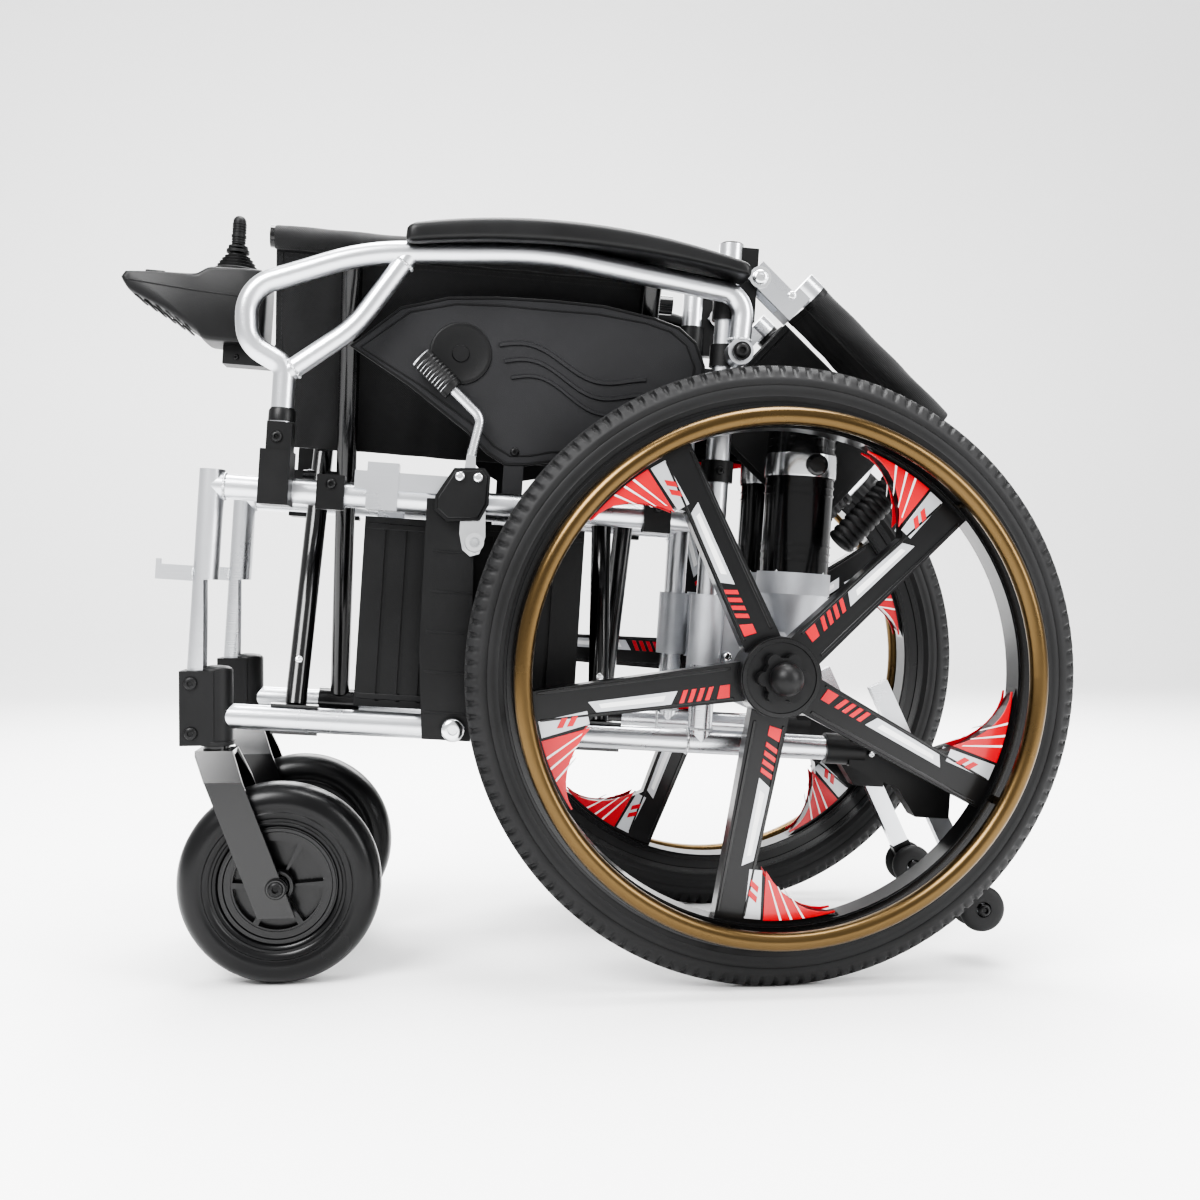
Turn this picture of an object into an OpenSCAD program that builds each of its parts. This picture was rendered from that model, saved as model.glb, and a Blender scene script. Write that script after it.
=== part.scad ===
// Folding power wheelchair, drawn folded flat with its footrests taken off.
// X runs from the front (-) to the rear (+), Y across the chair with its
// left side at -Y, and Z up from the floor. The origin lies on the floor
// under the middle of the chair.
// Side parts are drawn for the left side, outboard towards -Y.

/* [Overall] */
// Diameter of each drive wheel over its tyre
wheel_d = 610; // [590:5:620]
// Distance between the two side frames, folded
folded_spacing = 215; // [210:1:225]
// Distance between the two side frames, opened for use
open_spacing = 480; // [470:2:484]
// Forward-up pitch of the side frames, in degrees
pitch = 3.8; // [3:0.1:4.5]

/* [Side frame] */
// Radius of the frame tubes
tube_r = 12.5; // [11:0.5:13]
// Front post's place in front of the axle
post_front = 563; // [560:1:570]
// Rear post's place in front of the axle
post_rear = 60; // [58:1:62]
// Upper tube's height over the axle
upper_w = 151; // [146:1:156]
// Lower tube's depth under the axle
lower_w = 75; // [72:1:78]
// Height of the front post's top over the axle
front_top = 167; // [160:1:180]
// Radius of the footrest's socket in the front post
footrest_r = 9.5; // [8:0.5:10]
// Depth of the footrest's socket
footrest_depth = 40; // [30:2:60]
// Height of the backrest hinge over the axle
hinge_w = 401.5; // [395:0.5:410]

/* [Cross brace] */
// Leg length from the lower tube to the middle bolt
leg_low = 270; // [268:1:274]
// Leg length from the middle bolt to the seat rail
leg_up = 247; // [240:1:250]
// Distance of the seat rail's axis from its leg's axis
rail_offset = 20; // [19:0.5:21]
// Radius of the legs
leg_r = 10.5; // [9:0.5:11]
// Radius of the seat rails
rail_r = 11; // [10:0.5:12]
// Radius of the bolt where the legs cross
cross_bolt_r = 5; // [4:0.5:6]

/* [Drive wheels] */
// Distance of a wheel's middle from its side frame
wheel_offset = 63; // [60:1:66]
// Width of the drive tyre
tyre_w = 36; // [32:1:38]
// Radial height of the drive tyre
tyre_h = 37; // [30:1:40]
// Radial depth of the wheel rim
rim_h = 25; // [18:1:28]
// Number of spokes
spokes = 5; // [5:1:6]
// How far the hand rim's tube lies inside the rim's outer edge
hand_step = 17; // [15:1:20]
// Radius of the hand rim's tube
hand_tube_r = 9; // [7:0.5:10]
// Radius of the drive axle
axle_r = 8; // [7:0.5:10]

/* [Casters] */
// Diameter of the front wheels
caster_d = 200; // [190:1:204]
// Width of the front wheels
caster_w = 47; // [40:1:50]
// Distance of the caster axle behind its swivel axis
caster_trail = 61; // [56:1:66]
// Swivel axis's place in front of the drive axle
swivel_front = 548; // [546:1:550]
// Radius of the swivel stem
stem_r = 8; // [7:0.5:9]
// Radius of the caster axle bolt
caster_bolt_r = 6; // [5:0.5:7]

/* [Motors] */
// Radius of the motor can
motor_r = 36; // [32:0.5:37]
// Distance of the motors from their side frame
motor_inset = 45.5; // [45:0.5:48]
// Radius of the gearbox round the axle
gear_r = 40; // [36:1:42]

/* [Armrests] */
// Radius of the armrest tube
arm_r = 11; // [10:0.5:11.5]
// Distance of the armrests outboard of the side frame
arm_offset = 28; // [28:0.5:30]
// Width of the armrest pad
pad_w = 46; // [40:1:50]

/* [Backrest] */
// Length from the backrest hinge to the push handle
cane_len = 250; // [240:1:260]
// Radius of the backrest cane
cane_r = 12; // [11:0.5:12.5]
// Angle that the backrest is folded back, in degrees
back_fold = 130; // [125:1:132]
// Radius of the push grip
grip_r = 15.5; // [14:0.5:16]

/* [Upholstery] */
// Thickness of the seat and back cloth
cloth_t = 6; // [4:0.5:8]
// Length of each half of the seat cloth, rail to middle
seat_half = 215; // [213:1:220]
// Front end of the seat cloth in front of the axle
seat_front = 520; // [500:5:524]
// Rear end of the seat cloth in front of the axle
seat_rear = 132; // [130:2:160]

/* [Controller] */
// Width of the controller case
case_w = 70; // [60:1:80]
// Radius of the joystick's knob
knob_r = 7.5; // [6:0.5:8]

/* [Clearances] */
// Gap between fitted pieces of one body
fit = 0.02; // [0.01:0.01:0.05]
// Running gap at pins and bearings
run = 0.05; // [0.03:0.01:0.08]
// Gap beside cloth and moving faces
air = 0.3; // [0.3:0.1:0.5]

/* [Hidden] */
$fn = 48;

wheel_r = wheel_d / 2;
half = folded_spacing / 2;
nose_u = -716;
nose_w = 391;
front_reach = -nose_u * cos(pitch) - nose_w * sin(pitch);
axle_x = (front_reach - wheel_r) / 2;
wheel_y = -half - wheel_offset;
arm_y = -half - arm_offset;

// Cross brace angles, measured from the vertical
phi = asin(half / leg_low);
phi_open = asin(open_spacing / 2 / leg_low);
cross_w = leg_low * cos(phi) - lower_w;
rail_y = leg_up * sin(phi) - rail_offset * cos(phi);
rail_w = cross_w + leg_up * cos(phi) + rail_offset * sin(phi);
seat_angle = asin(rail_y / seat_half);
leg_pitch = 2 * leg_r + 6;
front_leg_a = -469;
rear_leg_a = -165;
boss_l = leg_pitch / 2 - 0.1;
bolt_head_l = 5;

// Wheels
rim_r = wheel_r - tyre_h;
rim_in = rim_r - rim_h;
hand_rim_r = rim_r - hand_step;
rim_w = 30;
hub_r = 40;
hub_out = 25.5;
hub_in = 20.5;
hand_y = 44.5;
spoke_w = 34;
spoke_t = 20;
spoke_angle = 42.5;
gusset_root = rim_in - 67;
gusset_span = 27;
nut_l = 37;

// Casters
caster_r = caster_d / 2;
caster_x = caster_trail - swivel_front;
housing_low = wheel_r - 67;
housing_top = wheel_r + 6;
barrel_r = 16;
fork_top = wheel_r - 72;
fork_bend = fork_top - 30;
fork_t = 5;
fork_w = 36;
fork_in = caster_w / 2 + 5;
caster_tyre_h = 42;

// Motors
motor_u = 39;
motor_y = -half + motor_inset;
flange_w = 82;
motor_low = 105;
motor_top = 262;

// Armrest tube corners, in the side frame's own plane
arm_pivot = [-51, 320];
arm_stub_u = -496;
stub_low = 215;
arm_loop = [[arm_stub_u, stub_low], [arm_stub_u, 270], [-533, 289], [-538, 342], [-425, 387],
    [-250, 402], [-49, 378], arm_pivot];
arm_loop_r = [16, 30, 36, 250, 400, 24];
arm_brace = [[arm_stub_u, 262], [-432, 313], [-383, 389]];
pin_r = 5;

// Backrest, in its own plane: c along the cane, d towards its rear face
hinge_u = -31;
cane_d = -post_rear - hinge_u;
cane_low = 36;
bend_r = 45;
grip_far = 135;
back_low = 56;
back_high = 200;
outer_len = 94;
inner_len = 139;
outer_sag = 5;
cloth_gap = 17.5;
fold_gap = cloth_t / 2 + air;

// Brakes
brake_y = -half - tube_r;
lever_pivot = [-312, 165];
shoe_pivot = [-303, 146];
shoe_at = [-303, 111];
shoe_r = 9;
shoe_gap = 8.7;
layer = 3;
// The brakes are drawn 303 mm in front of the axle, and stand clear of the tyre
brake_shift = 303 - sqrt(pow(wheel_r + shoe_gap + shoe_r, 2) - pow(shoe_at[1], 2));

// Anti-tip bars
tip_top = [124, -5];
tip_wheel = [248, -232];
tip_wheel_r = 24;
tip_bar_w = 20;
tip_bar_t = 12;

// Controller
stick_u = -593;
case_top = 413;
stick_w = case_top - 4;

module chair() { translate([axle_x, 0, 0]) children(); }
module pitched() { chair() translate([0, 0, wheel_r]) rotate([0, pitch, 0]) children(); }
module sided(s) { if (s < 0) children(); else mirror([0, 1, 0]) children(); }

// A plate lying in the side plane, from y = y0 outboard by t
module plate(y0, t) { translate([0, y0, 0]) rotate([90, 0, 0]) linear_extrude(t) children(); }
// A straight round bar between two points
module rod(a, b, r) {
    v = b - a;
    len = norm(v);
    translate(a) rotate([0, acos(v[2] / len), atan2(v[1], v[0])]) cylinder(h = len, r = r);
}
// Round bars along one axis
module y_rod(u, w, y0, y1, r) { rod([u, y0, w], [u, y1, w], r); }
module u_rod(v, w, u0, u1, r) { rod([u0, v, w], [u1, v, w], r); }
module w_rod(u, v, w0, w1, r) { rod([u, v, w0], [u, v, w1], r); }
module block(lo, hi) { translate(lo) cube(hi - lo); }

function unit(v) = v / norm(v);
function cross2(a, b) = a[0] * b[1] - a[1] * b[0];
function turn_at(p, i) = acos(unit(p[i] - p[i - 1]) * unit(p[i + 1] - p[i]));
function trim_at(p, r, i) = (i == 0 || i == len(p) - 1) ? 0 : r[i - 1] * tan(turn_at(p, i) / 2);
function heading(v) = atan2(v[1], v[0]);

// A round tube bent in the side plane at y, with a radius at each corner
module bent_tube(p, bends, r, y) {
    for (i = [0 : len(p) - 2]) {
        d = unit(p[i + 1] - p[i]);
        a = p[i] + d * trim_at(p, bends, i);
        b = p[i + 1] - d * trim_at(p, bends, i + 1);
        rod([a[0], y, a[1]], [b[0], y, b[1]], r);
    }
    for (i = [1 : len(p) - 2]) {
        d1 = unit(p[i] - p[i - 1]);
        d2 = unit(p[i + 1] - p[i]);
        side = sign(cross2(d1, d2));
        start = p[i] - d1 * trim_at(p, bends, i);
        finish = p[i] + d2 * trim_at(p, bends, i);
        centre = start + side * bends[i - 1] * [-d1[1], d1[0]];
        over = 86 / bends[i - 1];
        from = side > 0 ? heading(start - centre) : heading(finish - centre);
        translate([0, y, 0]) rotate([90, 0, 0]) translate([centre[0], centre[1], 0])
            rotate([0, 0, from - over]) rotate_extrude(angle = turn_at(p, i) + 2 * over)
                translate([bends[i - 1], 0]) circle(r - 0.12);
    }
}

// Profile of a tyre of outer radius r, width w and radial height h
module tyre_profile(r, w, h, shoulder) {
    flat = w / 2 - shoulder;
    for (k = [-1, 1]) translate([r - shoulder, k * flat]) circle(shoulder);
    translate([r - h, -flat]) square([h, 2 * flat]);
    translate([r - h, -w / 2]) square([h - shoulder, w]);
}

module side_frame(s) {
    color("silver") sided(s) {
        difference() {
            pitched() union() {
                w_rod(-post_front, -half, -60, front_top, tube_r);
                w_rod(-post_rear, -half, -lower_w, hinge_w + 33, tube_r);
                u_rod(-half, upper_w, -post_front, -post_rear, tube_r);
                u_rod(-half, -lower_w, -swivel_front, 76, tube_r);
                // Footrest latch on the front post
                block([-611, -half - 4, 56], [-post_front, -half + 4, 71]);
                block([-611, -half - 4, 56], [-607, -half + 4, 76]);
                // Saddle that the seat rail comes down on
                block([-424, -half - 13, 158], [-330, -half + 13, 176]);
                block([-424, -half, 158], [-330, -half + 41, rail_rest()]);
                block([-412, -half - 15, 138], [-381, -half + 13, 185]);
            }
            chair() translate([-swivel_front, -half, 0]) cylinder(h = 400, r = barrel_r + fit);
            pitched() w_rod(-post_front, -half, front_top - footrest_depth, front_top + 5, footrest_r);
        }
    }
}
function rail_rest() = open_rail_w() - rail_r - 2 * air;
function open_rail_w() = leg_low * cos(phi_open) - lower_w + leg_up * cos(phi_open)
    + rail_offset * sin(phi_open);

module caster_housing(s) {
    color("black") sided(s) difference() {
        chair() union() {
            translate([-swivel_front, -half, housing_low])
                cylinder(h = housing_top - housing_low, r = barrel_r);
            block([-swivel_front - 33, -half - 17, housing_low],
                [-swivel_front, -half + 17, housing_top]);
            for (z = [housing_low + 12, housing_top - 12])
                y_rod(-swivel_front - 22, z, -half - 16, -half - 19, 4);
        }
        chair() translate([-swivel_front, -half, housing_low - 1]) cylinder(h = 64, r = stem_r + run);
        pitched() w_rod(-post_front, -half, -60, front_top, tube_r + fit);
    }
}

module caster_fork(s) {
    color("black") sided(s) chair() difference() {
        union() {
            translate([-swivel_front, -half, fork_top - 1]) cylinder(h = 61, r = stem_r);
            translate([-swivel_front, -half, fork_top - 1]) cylinder(h = 4.5, r = 13);
            block([-swivel_front - fork_w / 2, -half - 19, fork_top - fork_t],
                [-swivel_front + fork_w / 2, -half + 19, fork_top]);
            for (k = [-1, 1]) {
                hull() {
                    block([-swivel_front - fork_w / 2, -half + k * 16.5 - 2.5, fork_top - fork_t],
                        [-swivel_front + fork_w / 2, -half + k * 16.5 + 2.5, fork_top]);
                    block([-swivel_front - 7, -half + k * (fork_in + fork_t / 2) - fork_t / 2, fork_bend],
                        [-swivel_front - 7 + fork_w, -half + k * (fork_in + fork_t / 2) + fork_t / 2, fork_bend + 1]);
                }
                plate(-half + k * (fork_in + fork_t / 2) + fork_t / 2, fork_t)
                    polygon([[-swivel_front - 7, fork_bend + 1], [caster_x - 18, caster_r - 29],
                        [caster_x + 18, caster_r - 29], [-swivel_front - 7 + fork_w, fork_bend + 1]]);
                y_rod(caster_x, caster_r, -half + k * fork_in, -half + k * (fork_in - 3.5), 10);
            }
        }
        y_rod(caster_x, caster_r, -half - 60, -half + 60, caster_bolt_r);
    }
    // Axle bolt with its round head and nut
    color("black") sided(s) chair() {
        y_rod(caster_x, caster_r, -half - fork_in - fork_t, -half + fork_in + fork_t, caster_bolt_r - fit);
        for (k = [-1, 1])
            y_rod(caster_x, caster_r, -half + k * (fork_in + fork_t),
                -half + k * (fork_in + fork_t + 4), 9);
    }
}

module caster_place(s) {
    sided(s) chair() translate([caster_x, -half, caster_r]) rotate([90, 0, 0]) children();
}
module caster_tyre(s) {
    color("black") caster_place(s) rotate_extrude() tyre_profile(caster_r, caster_w, caster_tyre_h, 15);
}
module caster_hub(s) {
    rim = caster_r - caster_tyre_h - fit;
    color("dimgray") caster_place(s) difference() {
        union() {
            rotate_extrude() translate([rim - 12, -18]) square([12, 36]);
            cylinder(h = 34, r = rim - 6, center = true);
            cylinder(h = 2 * (fork_in - 3.8), r = 11, center = true);
        }
        for (k = [-1, 1]) for (i = [0 : 5]) rotate([0, 0, 60 * i])
            translate([0, 0, k * 13]) linear_extrude(10, center = true)
                polygon([for (a = [4 : 8.67 : 56.1]) 14 * [cos(a), sin(a)],
                    for (a = [56 : -8.67 : 3.9]) (rim - 14) * [cos(a), sin(a)]]);
        cylinder(h = 80, r = caster_bolt_r + run, center = true);
    }
}

// Wheel pieces are drawn in the wheel's plane, outboard towards +z; both
// wheels are the same part, so the right one is turned round, not mirrored
module wheel_place(s) {
    chair() rotate([0, 0, s < 0 ? 0 : 180]) translate([0, wheel_y, wheel_r]) rotate([90, 0, 0])
        rotate([0, 0, s < 0 ? 0 : 33.7]) children();
}
module drive_tyre(s) {
    color("black") wheel_place(s) rotate_extrude($fn = 120) tyre_profile(wheel_r, tyre_w, tyre_h, 14);
}
module gusset() {
    steps = 10;
    depth = rim_in + 2 - gusset_root;
    polygon([[gusset_root - 4, 0], [rim_in + 4, 0],
        for (i = [0 : steps]) (rim_in + 4) * [cos(gusset_span * i / steps), sin(gusset_span * i / steps)],
        for (i = [steps : -1 : 0]) let (a = gusset_span * i / steps,
            r = rim_in + 2 - depth * pow(1 - i / steps, 1.8)) r * [cos(a), sin(a)]]);
}
module wheel_rim(s) {
    color("#202020") wheel_place(s) difference() {
        union() {
            rotate_extrude($fn = 120) translate([rim_in, -rim_w / 2]) square([rim_h - fit, rim_w]);
            translate([0, 0, -hub_in]) cylinder(h = hub_in + hub_out, r = hub_r);
            for (i = [0 : spokes - 1]) rotate([0, 0, spoke_angle + i * 360 / spokes]) {
                translate([0, 0, -spoke_t / 2]) linear_extrude(spoke_t)
                    polygon([[0, -spoke_w / 2 - 3], [rim_in + 5, -spoke_w / 2 + 2],
                        [rim_in + 5, spoke_w / 2 - 2], [0, spoke_w / 2 + 3]]);
                translate([0, 0, -spoke_t / 2]) linear_extrude(spoke_t)
                    rotate([0, 0, 3]) gusset();
            }
        }
        cylinder(h = 200, r = axle_r + fit, center = true);
    }
}
module hand_rim(s) {
    color("#7a5c2e") wheel_place(s) {
        translate([0, 0, hand_y]) rotate_extrude($fn = 120) translate([hand_rim_r, 0]) circle(hand_tube_r);
        for (i = [0 : spokes - 1]) rotate([0, 0, spoke_angle + i * 360 / spokes])
            translate([hand_rim_r, 0, rim_w / 2]) cylinder(h = hand_y - rim_w / 2, r = 4);
    }
}
module drive_axle(s) {
    color("black") wheel_place(s) {
        translate([0, 0, -wheel_offset - 10]) cylinder(h = wheel_offset + 10 + hub_out, r = axle_r);
        translate([0, 0, hub_out]) {
            cylinder(h = 14, r = 20);
            for (i = [0 : 5]) rotate([0, 0, 60 * i]) translate([19, 0, 0]) cylinder(h = 14, r = 7);
            cylinder(h = nut_l - 12, r = 14);
            translate([0, 0, nut_l - 16.5]) sphere(16.5);
        }
    }
}

module motor(s) {
    color("#1c1c1c") sided(s) pitched() {
        w_rod(motor_u, motor_y, motor_low, motor_top - 2, motor_r);
        w_rod(motor_u, motor_y, motor_top - 26, motor_top, motor_r - 3);
        w_rod(motor_u, motor_y, 204, 232, motor_r + 1.5);
        y_rod(motor_u + 7, 218, motor_y, motor_y - motor_r - 5, 11.5);
    }
}
module gearbox(s) {
    face = motor_y - 38;
    color("lightgray") sided(s) pitched() difference() {
        union() {
            y_rod(0, 0, motor_y + 30, face, gear_r);
            w_rod(motor_u, motor_y, flange_w, motor_low, motor_r + 3);
            translate([motor_u, motor_y, 34]) cylinder(h = flange_w - 34, r1 = 22, r2 = motor_r + 2);
            block([-5, motor_y - 22, 0], [motor_u + 20, motor_y + 22, 42]);
            block([16 - post_rear, -half - 4, 2], [10 - post_rear + 44, -half + 4, 78]);
            block([-40, -half - 4, -20], [10, face + 10, 40]);
            w_rod(-post_rear, -half, 4, 76, tube_r + 5);
            for (w = [14, 66]) y_rod(16 - post_rear + 6, w, -half - 4, -half - 9, 5);
        }
        y_rod(0, 0, motor_y + 60, -half - 60, axle_r + run);
        w_rod(-post_rear, -half, 0, 80, tube_r + fit);
    }
}

module armrest_tube(s) {
    color("silver") sided(s) pitched() difference() {
        union() {
            bent_tube(arm_loop, arm_loop_r, arm_r, arm_y);
            bent_tube(arm_brace, [120], arm_r - 1, arm_y);
            w_rod(arm_stub_u, arm_y, stub_low - 12, stub_low, 6);
            y_rod(arm_pivot[0], arm_pivot[1], arm_y + arm_r - 0.5, arm_y - arm_r, 13);
        }
        y_rod(arm_pivot[0], arm_pivot[1], arm_y + 30, arm_y - 30, pin_r + run);
    }
}
// Crowned outline of the pad between two long arcs
module pad_outline() {
    steps = 12;
    front = -388;
    length = 340;
    polygon([for (i = [0 : steps]) let (t = i / steps)
            [front + length * t, 408 + 27 * 4 * t * (1 - t)],
        for (i = [steps : -1 : 0]) let (t = i / steps)
            [front + 6 + (length - 10) * t, 392 - 3 * t + 12 * 4 * t * (1 - t)]]);
}
// Groove under the pad, following the top of the tube
module arm_groove() {
    rise = arm_r + air + 0.4;
    top = [[-470, 368.7], [-440, 380.4], [-425, 385], [-405, 388], [-291, 398.4], [-250, 400.1],
        [-209, 397.3], [-60, 379.5], [-30, 376]];
    polygon([for (q = top) q + [0, rise], [-30, 340], [-470, 340]]);
}
module armrest_pad(s) {
    color("#1a1a1a") sided(s) pitched() difference() {
        plate(arm_y + arm_offset / 2 - 4.5, pad_w) pad_outline();
        plate(arm_y + arm_r + air, 2 * (arm_r + air)) arm_groove();
    }
}

// Black moulded clamps fixed to the side frame
module frame_clamps(s) {
    color("#161616") sided(s) pitched() {
        // Armrest socket with its sleeve
        difference() {
            union() {
                block([-513, arm_y - 14, upper_w - 16], [-484, -half + 2, 188]);
                block([-508, arm_y - 13, 186], [-484, arm_y + 13, stub_low - air]);
            }
            u_rod(-half, upper_w, -600, -400, tube_r + fit);
            w_rod(arm_stub_u, arm_y, stub_low - 16, stub_low + 10, 7.5);
            block([arm_stub_u - 12, arm_y - 7.5, stub_low - 16], [arm_stub_u, arm_y + 7.5, stub_low + 10]);
        }
        // Rail clamps on the upper tube
        for (u = [-460, -134]) difference() {
            block([u, -half - 18, upper_w - 16], [u + 27, -half + 3, upper_w + 18]);
            u_rod(-half, upper_w, u - 5, u + 40, tube_r + fit);
        }
        // Collar on the rear post
        difference() {
            w_rod(-post_rear, -half, 191, 213, tube_r + 4);
            w_rod(-post_rear, -half, 180, 220, tube_r + fit);
        }
        // Armrest pivot on the rear post
        difference() {
            union() {
                w_rod(-post_rear, -half, arm_pivot[1] - 11, arm_pivot[1] + 11, tube_r + 3);
                y_rod(arm_pivot[0], arm_pivot[1], -half, arm_y + 13 + air, 10);
                y_rod(arm_pivot[0], arm_pivot[1], -half, arm_y - arm_r - 1, pin_r);
            }
            w_rod(-post_rear, -half, 300, 340, tube_r + fit);
        }
        y_rod(arm_pivot[0], arm_pivot[1], arm_y - arm_r - 1, arm_y - arm_r - 6, 9);
        // Backrest hinge bracket
        difference() {
            union() {
                w_rod(-post_rear, -half, hinge_w - 45, hinge_w - 12, tube_r + 3);
                block([-post_rear + 8, -half - 8, hinge_w - 45], [hinge_u - 2, -half + 8, hinge_w + 30]);
                y_rod(hinge_u, hinge_w, -half - 8, -half + 8, 9);
            }
            w_rod(-post_rear, -half, 300, 500, tube_r + fit);
            y_rod(hinge_u, hinge_w, -half - 20, -half + 20, 4 + run);
        }
    }
}

module side_panel(s) {
    outline = [[-438, 299], [-391, 341], [-345, 355], [-296, 360], [-240, 362], [-188, 361],
        [-135, 353], [-108, 345], [-90, 331], [-80, 308], [-84, 270], [-110, 232], [-160, 205],
        [-232, 198], [-255, 193], [-277, 192], [-296, 202], [-317, 222], [-379, 265]];
    color("#2b2b2b") sided(s) pitched() {
        plate(-half, 4) polygon(outline);
        block([-278, -half - 4, upper_w + tube_r + fit], [-258, -half, 196]);
        block([-86, -half - 4, 294], [-post_rear - tube_r - fit, -half, 306]);
    }
}

module braked() { pitched() translate([brake_shift, 0, 0]) children(); }
module brake_mount(s) {
    cover = brake_y - 3 * layer - 1.5;
    color("#161616") sided(s) braked() {
        plate(brake_y, layer) polygon([[-352, 153], [-305, 155], [-294, -86], [-342, -86], [-350, 0]]);
        plate(cover, 3.5) polygon([[-327, 184], [-297, 186], [-291, 178], [-291, 150], [-299, 134],
            [-331, 131], [-344, 142], [-344, 155], [-333, 174]]);
        y_rod(lever_pivot[0], lever_pivot[1], brake_y - layer, cover, 4);
        y_rod(shoe_pivot[0], shoe_pivot[1], brake_y - layer, cover, 4);
        y_rod(-336, 146, brake_y - layer, cover, 3);
        for (u = [-321, -303]) y_rod(u, 176, cover - 3.5, cover - 6, 4.5);
        y_rod(-312, -lower_w, brake_y - layer, brake_y - layer - 4, 11.5);
    }
}
module brake_lever(s) {
    y = brake_y - 2 * layer - 2.5;
    color("silver") sided(s) braked() {
        difference() {
            union() {
                plate(y + 1.5, layer) translate(lever_pivot) circle(9);
                plate(y + 1.5, layer) polygon([[-319, 165], [-305, 165], [-307, 204], [-315, 204]]);
            }
            y_rod(lever_pivot[0], lever_pivot[1], -half, y - 20, 4 + run);
        }
        bent_tube([[-311, 198], [-304, 236], [-334, 262]], [14], 5, y);
    }
    color("black") sided(s) braked() rod([-334, y, 262], [-367, y, 290.5], 11);
}
module brake_shoe(s) {
    y = brake_y - layer - 0.5;
    color("silver") sided(s) braked() difference() {
        union() {
            plate(y, layer) polygon([[-318, 152], [-294, 152], [-292, 118], [-297, 101],
                [-306, 98], [-314, 104], [-318, 120]]);
            y_rod(shoe_at[0], shoe_at[1], y, wheel_y - 6, shoe_r);
        }
        y_rod(shoe_at[0], shoe_at[1], y - layer - 2, wheel_y - 20, 5);
        y_rod(shoe_pivot[0], shoe_pivot[1], -half, y - 20, 4 + run);
    }
}

// Direction of the anti-tip bar, down and to the rear
tip_turn = atan2(tip_wheel[0] - tip_top[0], tip_top[1] - tip_wheel[1]);
tip_len = norm(tip_wheel - tip_top);
module tip_bar_space(grow) {
    translate([tip_top[0], -half, tip_top[1]]) rotate([0, -tip_turn, 0])
        block([-tip_bar_w / 2 - grow, -tip_bar_t / 2 - grow, -tip_len],
            [tip_bar_w / 2 + grow, tip_bar_t / 2 + grow, 0]);
}
module antitip_bar(s) {
    color("silver") sided(s) pitched() difference() {
        union() {
            tip_bar_space(0);
            y_rod(tip_wheel[0], tip_wheel[1], -half - 6.5, -half + 6.5, 12);
            y_rod(tip_wheel[0], tip_wheel[1], -half - 21, -half + 21, 4);
        }
    }
}
module antitip_socket(s) {
    color("#161616") sided(s) pitched() difference() {
        union() {
            u_rod(-half, -lower_w, 72, 112, tube_r + 3.5);
            plate(-half + 13, 26) polygon([[96, -60], [120, -60], [170, -72], [206, -98],
                [206, -140], [170, -140], [150, -112], [96, -91]]);
            rod([178, -half, -78], [218, -half, -63], 6);
        }
        u_rod(-half, -lower_w, 60, 76 + fit, tube_r + fit);
        tip_bar_space(fit);
    }
}
module antitip_wheel(s) {
    color("black") sided(s) pitched() translate([tip_wheel[0], -half, tip_wheel[1]]) for (k = [-1, 1])
        translate([0, k * 13.5, 0]) rotate([90, 0, 0]) difference() {
            union() {
                cylinder(h = 13, r = tip_wheel_r - 4, center = true);
                cylinder(h = 9, r = tip_wheel_r, center = true);
            }
            cylinder(h = 30, r = 4 + run, center = true);
        }
}

// The backrest's own frame: x is d, z is c
module back_place(s) {
    sided(s) pitched() translate([hinge_u, -half, hinge_w]) rotate([0, back_fold, 0]) children();
}
module back_cane(s) {
    color("silver") back_place(s) {
        bent_tube([[cane_d, cane_low + 2], [cane_d, cane_len], [grip_far - 6, cane_len]],
            [bend_r], cane_r, 0);
        difference() {
            union() {
                w_rod(cane_d, 0, cane_low, cane_low + 18, 15);
                for (k = [-1, 1])
                    block([-14, k * 10.6 - 2.3, -9], [10, k * 10.6 + 2.3, cane_low + 16]);
                block([cane_d, -12.9, cane_low], [10, 12.9, cane_low + 16]);
            }
            w_rod(cane_d, 0, cane_low + 2, 80, cane_r - 1);
        }
        y_rod(0, 0, -12.9, 12.9, 4);
    }
}
module push_grip(s) {
    color("black") back_place(s) difference() {
        union() {
            u_rod(0, cane_len, 40, grip_far, grip_r);
            u_rod(0, cane_len, 40, 46, grip_r + 1.5);
        }
        u_rod(0, cane_len, 30, grip_far - 6, cane_r + fit);
    }
}

module seat_cloth(s) {
    root = rail_r + air;
    color("#141414") sided(s) pitched() translate([0, -rail_y, rail_w]) rotate([seat_angle, 0, 0])
        block([-seat_front, -cloth_t / 2, cloth_gap - seat_half],
            [-seat_rear, cloth_t / 2, -root]);
}
module back_cloth(s) {
    root = cane_r + air;
    color("#141414") back_place(s) translate([cane_d, 0, 0]) rotate([0, 0, -outer_sag])
        block([-cloth_t / 2, root, back_low], [cloth_t / 2, outer_len - fold_gap, back_high]);
}
module back_cloth_inner(s) {
    edge = outer_len * cos(outer_sag);
    color("#141414") back_place(s)
        translate([cane_d + outer_len * sin(outer_sag), edge, 0])
            block([fold_gap, -cloth_t / 2, back_low], [inner_len, cloth_t / 2, back_high]);
}

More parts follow.
